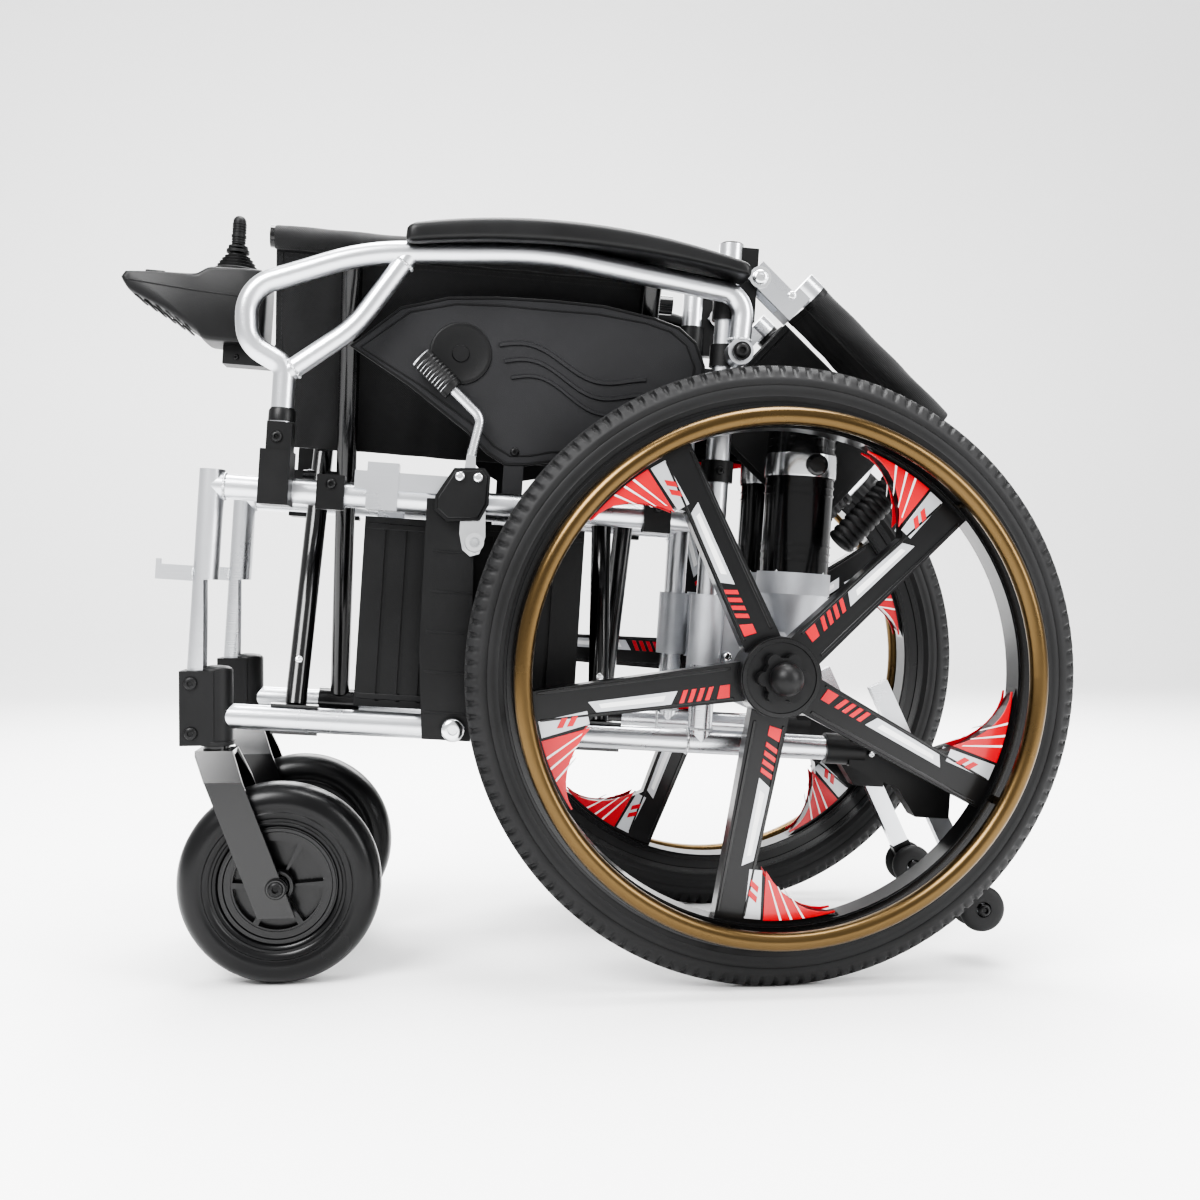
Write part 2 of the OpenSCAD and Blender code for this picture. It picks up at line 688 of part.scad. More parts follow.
// One leg of the cross brace, from the lower tube at the left
module brace_leg(u) {
    rod([u, -half, -lower_w] + (tube_r + 1.5) * [0, sin(phi), cos(phi)],
        [u, leg_up * sin(phi), cross_w + leg_up * cos(phi)], leg_r);
    translate([u - 18, -half, -lower_w]) rotate([90, 0, 90]) rotate([0, 0, -80])
        rotate_extrude(angle = 190) translate([tube_r + run, -5]) square([3.4, 46]);
}
module brace(first, second, bolt_side) {
    difference() {
        union() {
            for (u = [first, second]) {
                brace_leg(u);
                u_rod(0, cross_w, u - boss_l, u + boss_l, cross_bolt_r + 4.5);
            }
            u_rod(rail_y, rail_w, -525, -90, rail_r);
        }
        u_rod(-half, -lower_w, -600, 0, tube_r + run);
        u_rod(0, cross_w, -600, 0, cross_bolt_r + bolt_side * run);
    }
}
module brace_a() {
    color("#101010") pitched() brace(front_leg_a, rear_leg_a, 1);
    color("silver") pitched() for (u = [front_leg_a, rear_leg_a]) {
        far = u + leg_pitch + boss_l + 0.2;
        u_rod(0, cross_w, u - boss_l, far, cross_bolt_r);
        u_rod(0, cross_w, u - boss_l - bolt_head_l, u - boss_l, cross_bolt_r + 3.5);
        u_rod(0, cross_w, far, far + bolt_head_l, cross_bolt_r + 3.5);
    }
}
module brace_b() {
    color("#101010") pitched() mirror([0, 1, 0])
        brace(front_leg_a + leg_pitch, rear_leg_a + leg_pitch, 1);
}

module battery() {
    low = tube_r - lower_w + 3;
    high = upper_w - tube_r - 6;
    outer = -half + tube_r + 3;
    color("#0e0e0e") pitched() {
        difference() {
            block([-413, outer, low], [-190, outer + 62, high]);
            for (u = [-392 : 21 : -205])
                block([u, outer - 1, low + 6], [u + 4, outer + 2.5, high - 6]);
        }
        for (u = [-318, -240]) {
            block([u, -half + tube_r + fit, high - 8], [u + 20, outer + 4, upper_w + 6]);
            block([u, -half + tube_r + fit, -lower_w - 6], [u + 20, outer + 4, low + 8]);
        }
    }
}

module case_outline() {
    polygon([[nose_u, nose_w], [nose_u + 4, 398], [-672, 401], [-634, 403], [-616, case_top - 1],
        [-560, case_top], [-552, 405], [-552, 332], [-560, 327], [-617, 326], [-630, 336],
        [-669, 359], [nose_u + 11, 376]]);
}
module controller_case() {
    y = half + arm_offset;
    color("#141414") sided(-1) pitched() {
        difference() {
            plate(y + case_w / 2, case_w) case_outline();
            w_rod(stick_u, y, case_top - 18, case_top + 10, 15);
            y_rod(stick_u, stick_w, y - 19, y + 19, 1.5 + run);
        }
        // Mounting block and its clamp on the armrest's front loop
        difference() {
            union() {
                block([-601, y - 16, 304], [-556, y + 16, 334]);
                block([-560, y - 15, 304], [-524, y + 15, 325]);
            }
            mirror([0, 1, 0]) bent_tube(arm_loop, arm_loop_r, arm_r + fit, arm_y);
        }
    }
}
// Rubber boot round the joystick
module joystick_boot() {
    y = half + arm_offset;
    color("black") pitched() difference() {
        for (k = [0 : 2])
            w_rod(stick_u, y, case_top + 5 * k - (k > 0 ? 0.5 : -fit), case_top + 5 * k + 5, 20.5 - 1.5 * k);
        w_rod(stick_u, y, case_top - 5, case_top + 30, 15);
    }
}
module joystick_gimbal() {
    y = half + arm_offset;
    color("silver") pitched() {
        union() {
            difference() {
                union() {
                    w_rod(stick_u, y, stick_w - 3, stick_w + 3, 12);
                    y_rod(stick_u, stick_w, y - 18, y + 18, 1.5);
                }
                w_rod(stick_u, y, stick_w - 10, stick_w + 10, 7.5);
            }
            u_rod(y, stick_w, stick_u - 9, stick_u + 9, 1.5);
        }
    }
}
module joystick() {
    y = half + arm_offset;
    color("black") pitched() {
        difference() {
            w_rod(stick_u, y, stick_w - 5, stick_w + 58, 4);
            u_rod(y, stick_w, stick_u - 11, stick_u + 11, 1.5 + run);
        }
        w_rod(stick_u, y, stick_w + 26, stick_w + 29.5, 13);
        w_rod(stick_u, y, stick_w + 31.5, stick_w + 34, 11);
        w_rod(stick_u, y, stick_w + 36, stick_w + 62, knob_r);
        translate([stick_u, y, stick_w + 62]) sphere(knob_r);
        w_rod(stick_u, y, stick_w + 44, stick_w + 47, knob_r + 1);
    }
}

side_frame(-1);  // left_side_frame
side_frame(1);  // right_side_frame
caster_housing(-1);  // left_caster_housing
caster_housing(1);  // right_caster_housing
caster_fork(-1);  // left_caster_fork
caster_fork(1);  // right_caster_fork
caster_tyre(-1);  // left_caster_tyre
caster_tyre(1);  // right_caster_tyre
caster_hub(-1);  // left_caster_hub
caster_hub(1);  // right_caster_hub
drive_tyre(-1);  // left_drive_tyre
drive_tyre(1);  // right_drive_tyre
wheel_rim(-1);  // left_wheel_rim
wheel_rim(1);  // right_wheel_rim
hand_rim(-1);  // left_hand_rim
hand_rim(1);  // right_hand_rim
drive_axle(-1);  // left_drive_axle
drive_axle(1);  // right_drive_axle
motor(-1);  // left_motor
motor(1);  // right_motor
gearbox(-1);  // left_gearbox
gearbox(1);  // right_gearbox
armrest_tube(-1);  // left_armrest_tube
armrest_tube(1);  // right_armrest_tube
armrest_pad(-1);  // left_armrest_pad
armrest_pad(1);  // right_armrest_pad
frame_clamps(-1);  // left_frame_clamps
frame_clamps(1);  // right_frame_clamps
side_panel(-1);  // left_side_panel
side_panel(1);  // right_side_panel
brake_mount(-1);  // left_brake_mount
brake_mount(1);  // right_brake_mount
brake_lever(-1);  // left_brake_lever
brake_lever(1);  // right_brake_lever
brake_shoe(-1);  // left_brake_shoe
brake_shoe(1);  // right_brake_shoe
antitip_bar(-1);  // left_antitip_bar
antitip_bar(1);  // right_antitip_bar
antitip_socket(-1);  // left_antitip_socket
antitip_socket(1);  // right_antitip_socket
antitip_wheel(-1);  // left_antitip_wheel
antitip_wheel(1);  // right_antitip_wheel
back_cane(-1);  // left_back_cane
back_cane(1);  // right_back_cane
push_grip(-1);  // left_push_grip
push_grip(1);  // right_push_grip
seat_cloth(-1);  // left_seat_cloth
seat_cloth(1);  // right_seat_cloth
back_cloth(-1);  // left_back_cloth
back_cloth(1);  // right_back_cloth
back_cloth_inner(-1);  // left_back_cloth_inner
back_cloth_inner(1);  // right_back_cloth_inner
brace_a();
brace_b();
battery();
controller_case();
joystick_boot();
joystick_gimbal();
joystick();
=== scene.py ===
import math
import bmesh
import bpy
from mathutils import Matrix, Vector, noise


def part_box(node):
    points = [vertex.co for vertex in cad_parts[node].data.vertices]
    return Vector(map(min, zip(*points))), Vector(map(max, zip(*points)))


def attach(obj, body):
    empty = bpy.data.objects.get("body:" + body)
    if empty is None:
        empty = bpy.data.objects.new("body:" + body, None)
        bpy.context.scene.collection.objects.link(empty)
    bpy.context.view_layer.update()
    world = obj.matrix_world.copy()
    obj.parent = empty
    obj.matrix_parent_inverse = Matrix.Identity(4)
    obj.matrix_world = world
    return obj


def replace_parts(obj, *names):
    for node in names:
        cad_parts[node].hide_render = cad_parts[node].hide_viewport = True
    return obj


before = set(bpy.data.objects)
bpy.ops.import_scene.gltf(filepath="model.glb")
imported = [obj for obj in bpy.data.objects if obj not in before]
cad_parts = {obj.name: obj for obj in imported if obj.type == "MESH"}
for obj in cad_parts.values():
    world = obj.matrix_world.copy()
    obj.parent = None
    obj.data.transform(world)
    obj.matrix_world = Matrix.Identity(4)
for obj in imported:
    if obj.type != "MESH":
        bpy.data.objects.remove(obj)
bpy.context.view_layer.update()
MM = 0.001

# ---------------------------------------------------------------- camera
EYE = Vector((-0.124, -1.473, 0.401))
LOOK = Vector((0.10834, 0.99399, -0.01571))
lens = bpy.data.cameras.new("camera")
lens.lens = 40.5
camera = bpy.data.objects.new("camera", lens)
camera.location = EYE
camera.rotation_euler = LOOK.to_track_quat("-Z", "Y").to_euler()
bpy.context.collection.objects.link(camera)
bpy.context.scene.camera = camera


# ---------------------------------------------------------------- materials
def graph(name):
    made = bpy.data.materials.new(name)
    made.use_nodes = True
    return made, made.node_tree.nodes, made.node_tree.links, made.node_tree.nodes["Principled BSDF"]


def finish_material(name, color, rough, metal=0.0, grain=400.0, bump=0.1, stretch=(1, 1, 1),
                    vary=0.25, patch=9.0, sheen=0.0, coat=0.0, kind="noise", depth=0.0004):
    made, nodes, links, shader = graph(name)
    shader.inputs["Metallic"].default_value = metal
    shader.inputs["Sheen Weight"].default_value = sheen
    shader.inputs["Coat Weight"].default_value = coat
    shader.inputs["Coat Roughness"].default_value = 0.12
    if not metal:
        shader.inputs["Specular IOR Level"].default_value = 0.38 if max(color) < 0.1 else 0.5
    place = nodes.new("ShaderNodeTexCoord")
    mapping = nodes.new("ShaderNodeMapping")
    mapping.inputs["Scale"].default_value = stretch
    links.new(place.outputs["Object"], mapping.inputs["Vector"])
    broad = nodes.new("ShaderNodeTexNoise")
    broad.inputs["Scale"].default_value = patch
    broad.inputs["Detail"].default_value = 6
    links.new(place.outputs["Object"], broad.inputs["Vector"])
    tone = nodes.new("ShaderNodeValToRGB")
    low = [c * (1 - vary) for c in color]
    high = [min(1, c * (1 + vary)) for c in color]
    tone.color_ramp.elements[0].position = 0.3
    tone.color_ramp.elements[0].color = (*low, 1)
    tone.color_ramp.elements[1].position = 0.7
    tone.color_ramp.elements[1].color = (*high, 1)
    links.new(broad.outputs["Fac"], tone.inputs["Fac"])
    links.new(tone.outputs["Color"], shader.inputs["Base Color"])
    if kind == "leather":
        fine = nodes.new("ShaderNodeTexVoronoi")
        fine.feature = "DISTANCE_TO_EDGE"
        height = fine.outputs["Distance"]
    else:
        fine = nodes.new("ShaderNodeTexNoise")
        fine.inputs["Detail"].default_value = 8
        height = fine.outputs["Fac"]
    fine.inputs["Scale"].default_value = grain
    links.new(mapping.outputs["Vector"], fine.inputs["Vector"])
    if kind == "weave":
        waves = []
        for turn in (math.radians(45), math.radians(-45)):
            wave_map = nodes.new("ShaderNodeMapping")
            wave_map.inputs["Rotation"].default_value = (0, turn, 0)
            wave = nodes.new("ShaderNodeTexWave")
            wave.inputs["Scale"].default_value = 190
            wave.inputs["Distortion"].default_value = 0.6
            links.new(place.outputs["Object"], wave_map.inputs["Vector"])
            links.new(wave_map.outputs["Vector"], wave.inputs["Vector"])
            waves.append(wave)
        join = nodes.new("ShaderNodeMath")
        join.operation = "MAXIMUM"
        links.new(waves[0].outputs["Fac"], join.inputs[0])
        links.new(waves[1].outputs["Fac"], join.inputs[1])
        height = join.outputs["Value"]
    spread = nodes.new("ShaderNodeMapRange")
    spread.inputs["To Min"].default_value = max(0.02, rough - 0.09)
    spread.inputs["To Max"].default_value = min(1.0, rough + 0.11)
    links.new(broad.outputs["Fac"], spread.inputs["Value"])
    links.new(spread.outputs["Result"], shader.inputs["Roughness"])
    relief = nodes.new("ShaderNodeBump")
    relief.inputs["Strength"].default_value = bump
    relief.inputs["Distance"].default_value = depth
    links.new(height, relief.inputs["Height"])
    links.new(relief.outputs["Normal"], shader.inputs["Normal"])
    return made


TUBE = finish_material("brushed_tube", (0.62, 0.63, 0.65), 0.27, 1.0, 60, 0.25, (1, 1, 14), 0.08, 5)
BRIGHT = finish_material("bright_steel", (0.76, 0.77, 0.78), 0.2, 1.0, 220, 0.08, (1, 1, 1), 0.06, 12)
WELD = finish_material("weld_bead", (0.56, 0.57, 0.58), 0.36, 1.0, 300, 0.5, (1, 1, 1), 0.15, 40)
CAST = finish_material("cast_metal", (0.42, 0.43, 0.45), 0.46, 0.75, 700, 0.35, (1, 1, 1), 0.12, 20)
BLACK = finish_material("moulded_black", (0.0062, 0.0062, 0.0066), 0.4, 0, 900, 0.25, (1, 1, 1),
    0.3, 14)
GLOSS = finish_material("gloss_black", (0.004, 0.004, 0.0044), 0.2, 0, 60, 0.04, (1, 1, 1), 0.3, 8,
    0, 0.5)
SATIN = finish_material("satin_wheel", (0.0045, 0.0045, 0.005), 0.3, 0, 160, 0.08, (1, 1, 1), 0.3,
    9, 0, 0.3)
PANEL = finish_material("panel_grain", (0.017, 0.017, 0.0185), 0.5, 0, 1300, 0.5, (1, 1, 1), 0.18, 10)
PANEL_DARK = finish_material("panel_line", (0.006, 0.006, 0.0065), 0.42, 0, 700, 0.2, (1, 1, 1),
    0.2, 10)
TYRE = finish_material("tyre_rubber", (0.012, 0.012, 0.0125), 0.55, 0, 500, 0.3, (1, 1, 1), 0.35, 11)
CASTER = finish_material("caster_rubber", (0.0045, 0.0045, 0.005), 0.3, 0, 350, 0.12, (1, 1, 1),
    0.3, 12)
BRONZE = finish_material("bronze_anodised", (0.125, 0.085, 0.042), 0.27, 1.0, 260, 0.1, (1, 1, 1),
    0.1, 7)
LEATHER = finish_material("pad_skin", (0.0068, 0.0068, 0.0072), 0.42, 0, 620, 0.35, (1, 1, 1), 0.2, 16,
                          kind="leather")
CLOTH = finish_material("woven_nylon", (0.0055, 0.0055, 0.006), 0.62, 0, 500, 0.6, (1, 1, 1), 0.3,
    18, 0.1, kind="weave")
HEM = finish_material("hem_tape", (0.004, 0.004, 0.0045), 0.55, 0, 500, 0.7, (1, 1, 1), 0.3, 30, 0.08,
                      kind="weave")
THREAD = finish_material("thread", (0.02, 0.02, 0.021), 0.6, 0, 2500, 0.4, (1, 1, 1), 0.3, 60)
GRIP = finish_material("grip_rubber", (0.0055, 0.0055, 0.006), 0.5, 0, 1200, 0.3, (1, 1, 1), 0.3, 25)
RED = finish_material("red_film", (0.5, 0.006, 0.012), 0.32, 0, 240, 0.04, (1, 1, 1), 0.07, 12, 0, 0.6)
WHITE = finish_material("white_film", (0.72, 0.72, 0.72), 0.32, 0, 240, 0.04, (1, 1, 1), 0.05, 12,
    0, 0.5)
SILVER = finish_material("silver_film", (0.5, 0.51, 0.53), 0.33, 0.55, 300, 0.06, (1, 1, 1), 0.07,
    10, 0, 0.4)
BATTERY = finish_material("battery_case", (0.0048, 0.0048, 0.0052), 0.42, 0, 800, 0.3, (1, 1, 1),
    0.3, 12)

LOOKS = {
    "side_frame": TUBE, "caster_housing": BLACK, "caster_fork": GLOSS, "caster_hub": SATIN,
    "wheel_rim": SATIN, "hand_rim": BRONZE, "drive_axle": BLACK, "motor": GLOSS, "gearbox": CAST,
    "armrest_tube": TUBE, "frame_clamps": BLACK, "side_panel": PANEL, "brake_mount": BLACK,
    "brake_lever": TUBE, "brake_shoe": BRIGHT, "antitip_bar": TUBE, "antitip_socket": BLACK,
    "antitip_wheel": TYRE, "back_cane": TUBE, "brace_a": GLOSS, "brace_b": GLOSS,
    "battery": BATTERY, "controller_case": BLACK, "joystick_gimbal": CAST, "joystick": GRIP,
}
for node_name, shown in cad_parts.items():
    kind = node_name.replace("left_", "").replace("right_", "")
    if kind in LOOKS:
        if not shown.data.materials:
            shown.data.materials.append(LOOKS[kind])
        for slot in shown.material_slots:
            slot.link = "OBJECT"
            slot.material = LOOKS[kind]

# ---------------------------------------------------------------- the chair's own frame, in mm
SIDES = {"left": -1, "right": 1}
FRAME_OF = {"left": "root", "right": "right_frame"}
PITCH = math.radians(3.8)
HALF = 107.5
ARM_V = HALF + 28
lo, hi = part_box("left_drive_tyre")
AXLE = Vector(((lo[0] + hi[0]) / 2, 0, (lo[2] + hi[2]) / 2))
WHEEL_V = abs(lo[1] + hi[1]) / 2 / MM
lo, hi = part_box("left_caster_tyre")
CASTER_AT = Vector(((lo[0] + hi[0]) / 2, 0, (lo[2] + hi[2]) / 2))
WHEEL_R, TYRE_W, TYRE_H = 305.0, 36.0, 37.0
TUBE_R, ARM_R, RAIL_R, CANE_R = 12.5, 11.0, 11.0, 12.0


def at(u, v, w):
    c, s = math.cos(PITCH), math.sin(PITCH)
    return Vector((AXLE.x + (u * c + w * s) * MM, v * MM, AXLE.z + (w * c - u * s) * MM))


def along(u, v, w):
    return (at(u, v, w) - at(0, 0, 0)).normalized()


def in_back(side, d, v, c):
    t = math.radians(130)
    return at(-31 + d * math.cos(t) + c * math.sin(t), SIDES[side] * (HALF - v),
              401.5 - d * math.sin(t) + c * math.cos(t))


def in_wheel(side, r, angle, out, rim=0.0):
    # out is measured outboard from the wheel's middle plane
    if side == "left":
        a = math.radians(angle)
        return Vector((AXLE.x + r * math.cos(a) * MM, -(WHEEL_V + out) * MM,
            AXLE.z + r * math.sin(a) * MM))
    a = math.radians(angle + 33.7)
    return Vector((AXLE.x - r * math.cos(a) * MM, (WHEEL_V + out) * MM, AXLE.z + r * math.sin(a) * MM))


# ---------------------------------------------------------------- mesh helpers
class Piece:
    def __init__(self, name, body, material, slot):
        self.name, self.body, self.material, self.slot = name, body, material, slot
        self.verts, self.faces = [], []

    def add(self, verts, faces):
        base = len(self.verts)
        self.verts += [tuple(v) for v in verts]
        self.faces += [tuple(i + base for i in f) for f in faces]

    def loft(self, rings, closed=True, caps=True):
        n = len(rings[0])
        verts = [p for ring in rings for p in ring]
        faces = []
        for i in range(len(rings) - 1):
            for j in range(n if closed else n - 1):
                k = (j + 1) % n
                faces.append((i * n + j, i * n + k, (i + 1) * n + k, (i + 1) * n + j))
        if caps:
            faces.append(tuple(range(n - 1, -1, -1)))
            faces.append(tuple((len(rings) - 1) * n + j for j in range(n)))
        self.add(verts, faces)

    def revolve(self, centre, axis, profile, segments=32, closed=False):
        # profile points are (distance along the axis, radius), in mm
        axis = axis.normalized()
        side = axis.orthogonal().normalized()
        up = axis.cross(side)
        rings = []
        for along_mm, radius in profile:
            rings.append([centre + axis * along_mm * MM + (side * math.cos(a) + up * math.sin(a)) *
                radius * MM for a in (2 * math.pi * j / segments for j in range(segments))])
        if closed:
            rings.append(rings[0])
        self.loft(rings, True, not closed)

    def prism(self, points, offset):
        n = len(points)
        self.add(points + [p + offset for p in points],
                 [tuple(range(n - 1, -1, -1)), tuple(range(n, 2 * n))]
                 + [(i, (i + 1) % n, n + (i + 1) % n, n + i) for i in range(n)])

    def done(self, bevel=0.0, smooth=True, levels=0, angle=35, segments=3):
        mesh = bpy.data.meshes.new(self.name)
        mesh.from_pydata(self.verts, [], self.faces)
        mesh.validate()
        mesh.materials.append(self.material)
        made = bpy.data.objects.new(self.name, mesh)
        bpy.context.collection.objects.link(made)
        work = bmesh.new()
        work.from_mesh(mesh)
        bmesh.ops.remove_doubles(work, verts=work.verts, dist=1e-6)
        bmesh.ops.recalc_face_normals(work, faces=work.faces)
        work.to_mesh(mesh)
        work.free()
        if bevel:
            soft = made.modifiers.new("bevel", "BEVEL")
            soft.width = bevel * MM
            soft.segments = segments
            soft.limit_method = "ANGLE"
            soft.angle_limit = math.radians(angle)
            soft.harden_normals = False
        if levels:
            made.modifiers.new("round", "SUBSURF").levels = levels
            made.modifiers["round"].render_levels = levels
        if smooth:
            mesh.shade_smooth()
            mesh.set_sharp_from_angle(angle=math.radians(40))
        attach(made, self.body)
        return made


def screw(piece, centre, axis, r, h=2.6, recess=True):
    profile = [(-1.0, r), (h * 0.3, r), (h * 0.75, r * 0.86), (h, r * 0.6)]
    if recess:
        profile += [(h, r * 0.42), (h * 0.25, r * 0.38)]
    piece.revolve(centre, axis, profile, 20)


def bead(piece, centre, axis, r, seed=0.0, size=1.5):
    # A weld's rippled ring round a tube of radius r
    axis = axis.normalized()
    side = axis.orthogonal().normalized()
    up = axis.cross(side)
    rings = []
    for i in range(72):
        a = 2 * math.pi * i / 72
        out = side * math.cos(a) + up * math.sin(a)
        fat = size * (1 + 0.28 * math.cos(i * math.pi * 0.75 + seed))
        rings.append([centre + out * (r + fat * math.cos(t)) * MM + axis * fat * math.sin(t) * MM
                      for t in (2 * math.pi * k / 8 for k in range(8))])
    rings.append(rings[0])
    piece.loft(rings, True, False)


# ---------------------------------------------------------------- drive wheels
def tyre_section():
    r, w, h = WHEEL_R, TYRE_W / 2, TYRE_H
    half = [(r - h, w - 3.5), (r - h + 4, w - 1.2), (r - h + 5.2, w - 0.6), (r - h + 6.4, w - 1.2),
            (r - h + 10, w - 0.4), (r - h + 15, w), (r - h + 16, w - 0.7), (r - h + 17, w),
            (r - h + 21, w - 0.1), (r - 14, w - 0.5), (r - 12.5, w - 1.6), (r - 9, w - 2.6),
            (r - 5.2, w - 4.8), (r - 2.4, w - 8.2), (r - 0.7, w - 11.5), (r - 0.5, w - 12.5),
            (r - 1.7, w - 13.2), (r - 1.7, w - 14.4), (r - 0.1, w - 15.2), (r, w - 17.6)]
    return [(a, b) for a, b in half] + [(a, -b) for a, b in reversed(half)]


for side in SIDES:
    tyre = Piece(side + "_tyre_shape", side + "_wheel", TYRE, "tyre_rubber")
    section = tyre_section()
    count = 864
    rings = []
    for i in range(count):
        cut = i % 6 >= 4
        ring = []
        for r, z in section:
            shoulder = WHEEL_R - 9.5 <= r <= WHEEL_R - 0.6 and abs(z) > 5
            ring.append(in_wheel(side, r - (2.3 if cut and shoulder else 0), 360 * i / count,
                                 z - (math.copysign(1.0, z) if cut and shoulder else 0)))
        rings.append(ring)
    rings.append(rings[0])
    tyre.loft(rings, True, False)
    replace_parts(tyre.done(), side + "_drive_tyre")

    spots = {"red": RED, "white": WHITE, "silver": SILVER}
    films = {k: Piece("%s_wheel_%s" % (side, k), side + "_wheel", m, "wheel_black") for k,
        m in spots.items()}
    caps = Piece(side + "_wheel_trim", side + "_wheel", BRIGHT, "wheel_black")
    ridge = Piece(side + "_wheel_edges", side + "_wheel", GLOSS, "wheel_black")

    def film(color, k, shape, lift=0.9, polar=False, base=10.0):
        for face in (1, -1):
            pts = []
            for x, y in shape:
                r, a = (x, y) if polar else (math.hypot(x, y), math.degrees(math.atan2(y, x)))
                pts.append(in_wheel(side, r, 42.5 + 72 * k + a, face * (base - 0.2)))
            push = in_wheel(side, 0, 0, face * lift) - in_wheel(side, 0, 0, -0.2 * face)
            films[color].prism(pts, push)

    for k in range(5):
        # Gusset panel with its two stripes
        steps = 8
        inner = []
        for i in range(steps + 1):
            t = i / steps
            a = 8.0 + 17.5 * t
            inner.append((237.5 - (237.5 - 190) * (1 - t) ** 1.9, a))
        outer = [(239.5, 8.0 + 17.5 * i / steps) for i in range(steps, -1, -1)]
        film("red", k, inner + outer, polar=True)
        for a0, r0 in ((8.8, 199), (11.4, 205), (14.4, 212)):
            film("white", k, [(r0, a0), (r0 + 1.5, a0 + 0.45), (239.0, a0 + 3.7),
                (239.0, a0 + 3.1)], 1.4, True)
        film("silver", k, [(190, 3.0), (190, 6.9), (238.5, 7.4), (238.5, 3.4)], polar=True)
        # Long panel on the spoke, a small mark, and the slanted stripes by the hub
        film("silver", k, [(100, 1.5), (108, 14.2), (181, 12.4), (188, 1.5)])
        film("white", k, [(112, 4.6), (115, 10.0), (176, 9.0), (178, 4.6)], 1.3)
        film("red", k, [(199, 13.5), (205, 13.5), (211, 22.5), (205, 22.5)], 1.4)
        film("red", k, [(209, 13.8), (215, 13.8), (221, 23.0), (215, 23.0)], 1.4)
        film("red", k, [(48, 1.5), (58, 1.5), (63, 15.2), (50, 15.8)])
        for x in (64, 72.5, 81, 89.5):
            film("red", k, [(x, 1.5), (x + 4.8, 1.5), (x + 11, 14.6), (x + 6.2, 14.6)])
        # Raised edges along the spoke
        for y0, y1 in ((-15.6, -12.2), (14.0, 16.6)):
            for face in (1, -1):
                pts = [(46, y0), (236, y0 * 0.9), (236, y1 * 0.9), (46, y1)]
                ridge.prism([in_wheel(side, math.hypot(x, y),
                    42.5 + 72 * k + math.degrees(math.atan2(y, x)), face * 9.8) for x, y in pts],
                    in_wheel(side, 0, 0, face * 1.4) - in_wheel(side, 0, 0, 0))
        out = in_wheel(side, 0, 0, 1) - in_wheel(side, 0, 0, 0)
        screw(caps, in_wheel(side, 256.5, 42.5 + 72 * k + 36, 15), out, 2.6, 1.6)
    for color, piece in films.items():
        piece.done(0.35, True, 0, 40, 2)
    caps.done()
    ridge.done(0.6, True)
    # Steps turned into the rim and the hub
    rim = Piece(side + "_rim_steps", side + "_wheel", GLOSS, "wheel_black")
    centre = in_wheel(side, 0, 0, 0)
    out = in_wheel(side, 0, 0, 1) - centre
    for face in (1, -1):
        for r, w, h in ((247, 3.0, 0.9), (262.5, 3.4, 1.4), (36.5, 2.6, 1.2)):
            base = (25.5 if face > 0 else 20.5) if r < 50 else 15.0
            rim.revolve(centre, out * face, [(base - 0.4, r - w), (base + h, r - w + 0.6),
                (base + h, r + w - 0.6), (base - 0.4, r + w)], 160, True)
    rim.done()
    hub = Piece(side + "_axle_cap", side + "_wheel", BLACK, "black_plastic")
    hub.revolve(centre, out, [(36.2, 12.2), (37.4, 10.5), (37.6, 7.5), (36.9, 7.0), (36.9, 3.0),
        (37.7, 2.4)], 48)
    hub.done()

# ---------------------------------------------------------------- casters
for side in SIDES:
    sign = SIDES[side]
    centre = Vector((CASTER_AT.x, sign * HALF * MM, CASTER_AT.z))
    out = Vector((0, sign, 0))
    tyre = Piece(side + "_caster_tyre_shape", side + "_caster_wheel", CASTER, "tyre_rubber")
    half = [(58.1, 19.5), (60, 21.8), (62.5, 22.4), (63.6, 21.4), (66, 21.4), (67.4, 22.9), (72, 23.5),
            (73.2, 22.5), (76, 22.7), (77.2, 23.5), (83, 23.1), (89, 21.3), (94, 17.6), (97.6, 12.4),
            (99.5, 6.2), (100, 0)]
    section = [(z, r) for r, z in half] + [(-z, r) for r, z in reversed(half[:-1])]
    tyre.revolve(centre, out, section, 144, True)
    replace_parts(tyre.done(), side + "_caster_tyre")
    trim = Piece(side + "_caster_bolts", side + "_caster", BLACK, "black_paint")
    for face in (1, -1):
        screw(trim, centre + out * face * 36.9 * MM, out * face, 7.6, 3.6)
        trim.revolve(centre + out * face * 33.4 * MM, out * face,
            [(0, 10.6), (1.2, 10.6), (1.2, 8.4), (0, 8.4)], 32, True)
    trim.done()
    dish = Piece(side + "_caster_rim_lip", side + "_caster_wheel", SATIN, "black_plastic")
    for face in (1, -1):
        dish.revolve(centre, out * face, [(17.5, 56.9), (19.6, 56.4), (19.6, 53.4), (17.5, 52.2)],
            96, True)
        dish.revolve(centre, out * face, [(20, 16.5), (24.6, 15.4), (24.6, 12.2), (20, 11.3)], 48, True)
    dish.done()
    # Screws and cap of the swivel housing
    body = FRAME_OF[side]
    top = Piece(side + "_housing_trim", body, BLACK, "black_plastic")
    swivel = Vector((CASTER_AT.x - 61 * MM, sign * HALF * MM, 0))
    for z in (250, 299):
        p = Vector((swivel.x - 22 * MM, sign * (HALF + 18.2) * MM, z * MM))
        screw(top, p, out, 6.4, 2.0)
    top.revolve(swivel + Vector((0, 0, 311 * MM)), Vector((0, 0, 1)),
        [(-0.4, 15.6), (1.6, 15.0), (3.6, 12.0), (4.6, 6.0)], 40)
    top.revolve(swivel + Vector((0, 0, 238 * MM)), Vector((0, 0, 1)),
        [(-1.0, 15.0), (-1.0, 17.2), (3.5, 17.4), (3.5, 15.8)], 40, True)
    top.done(0.5)

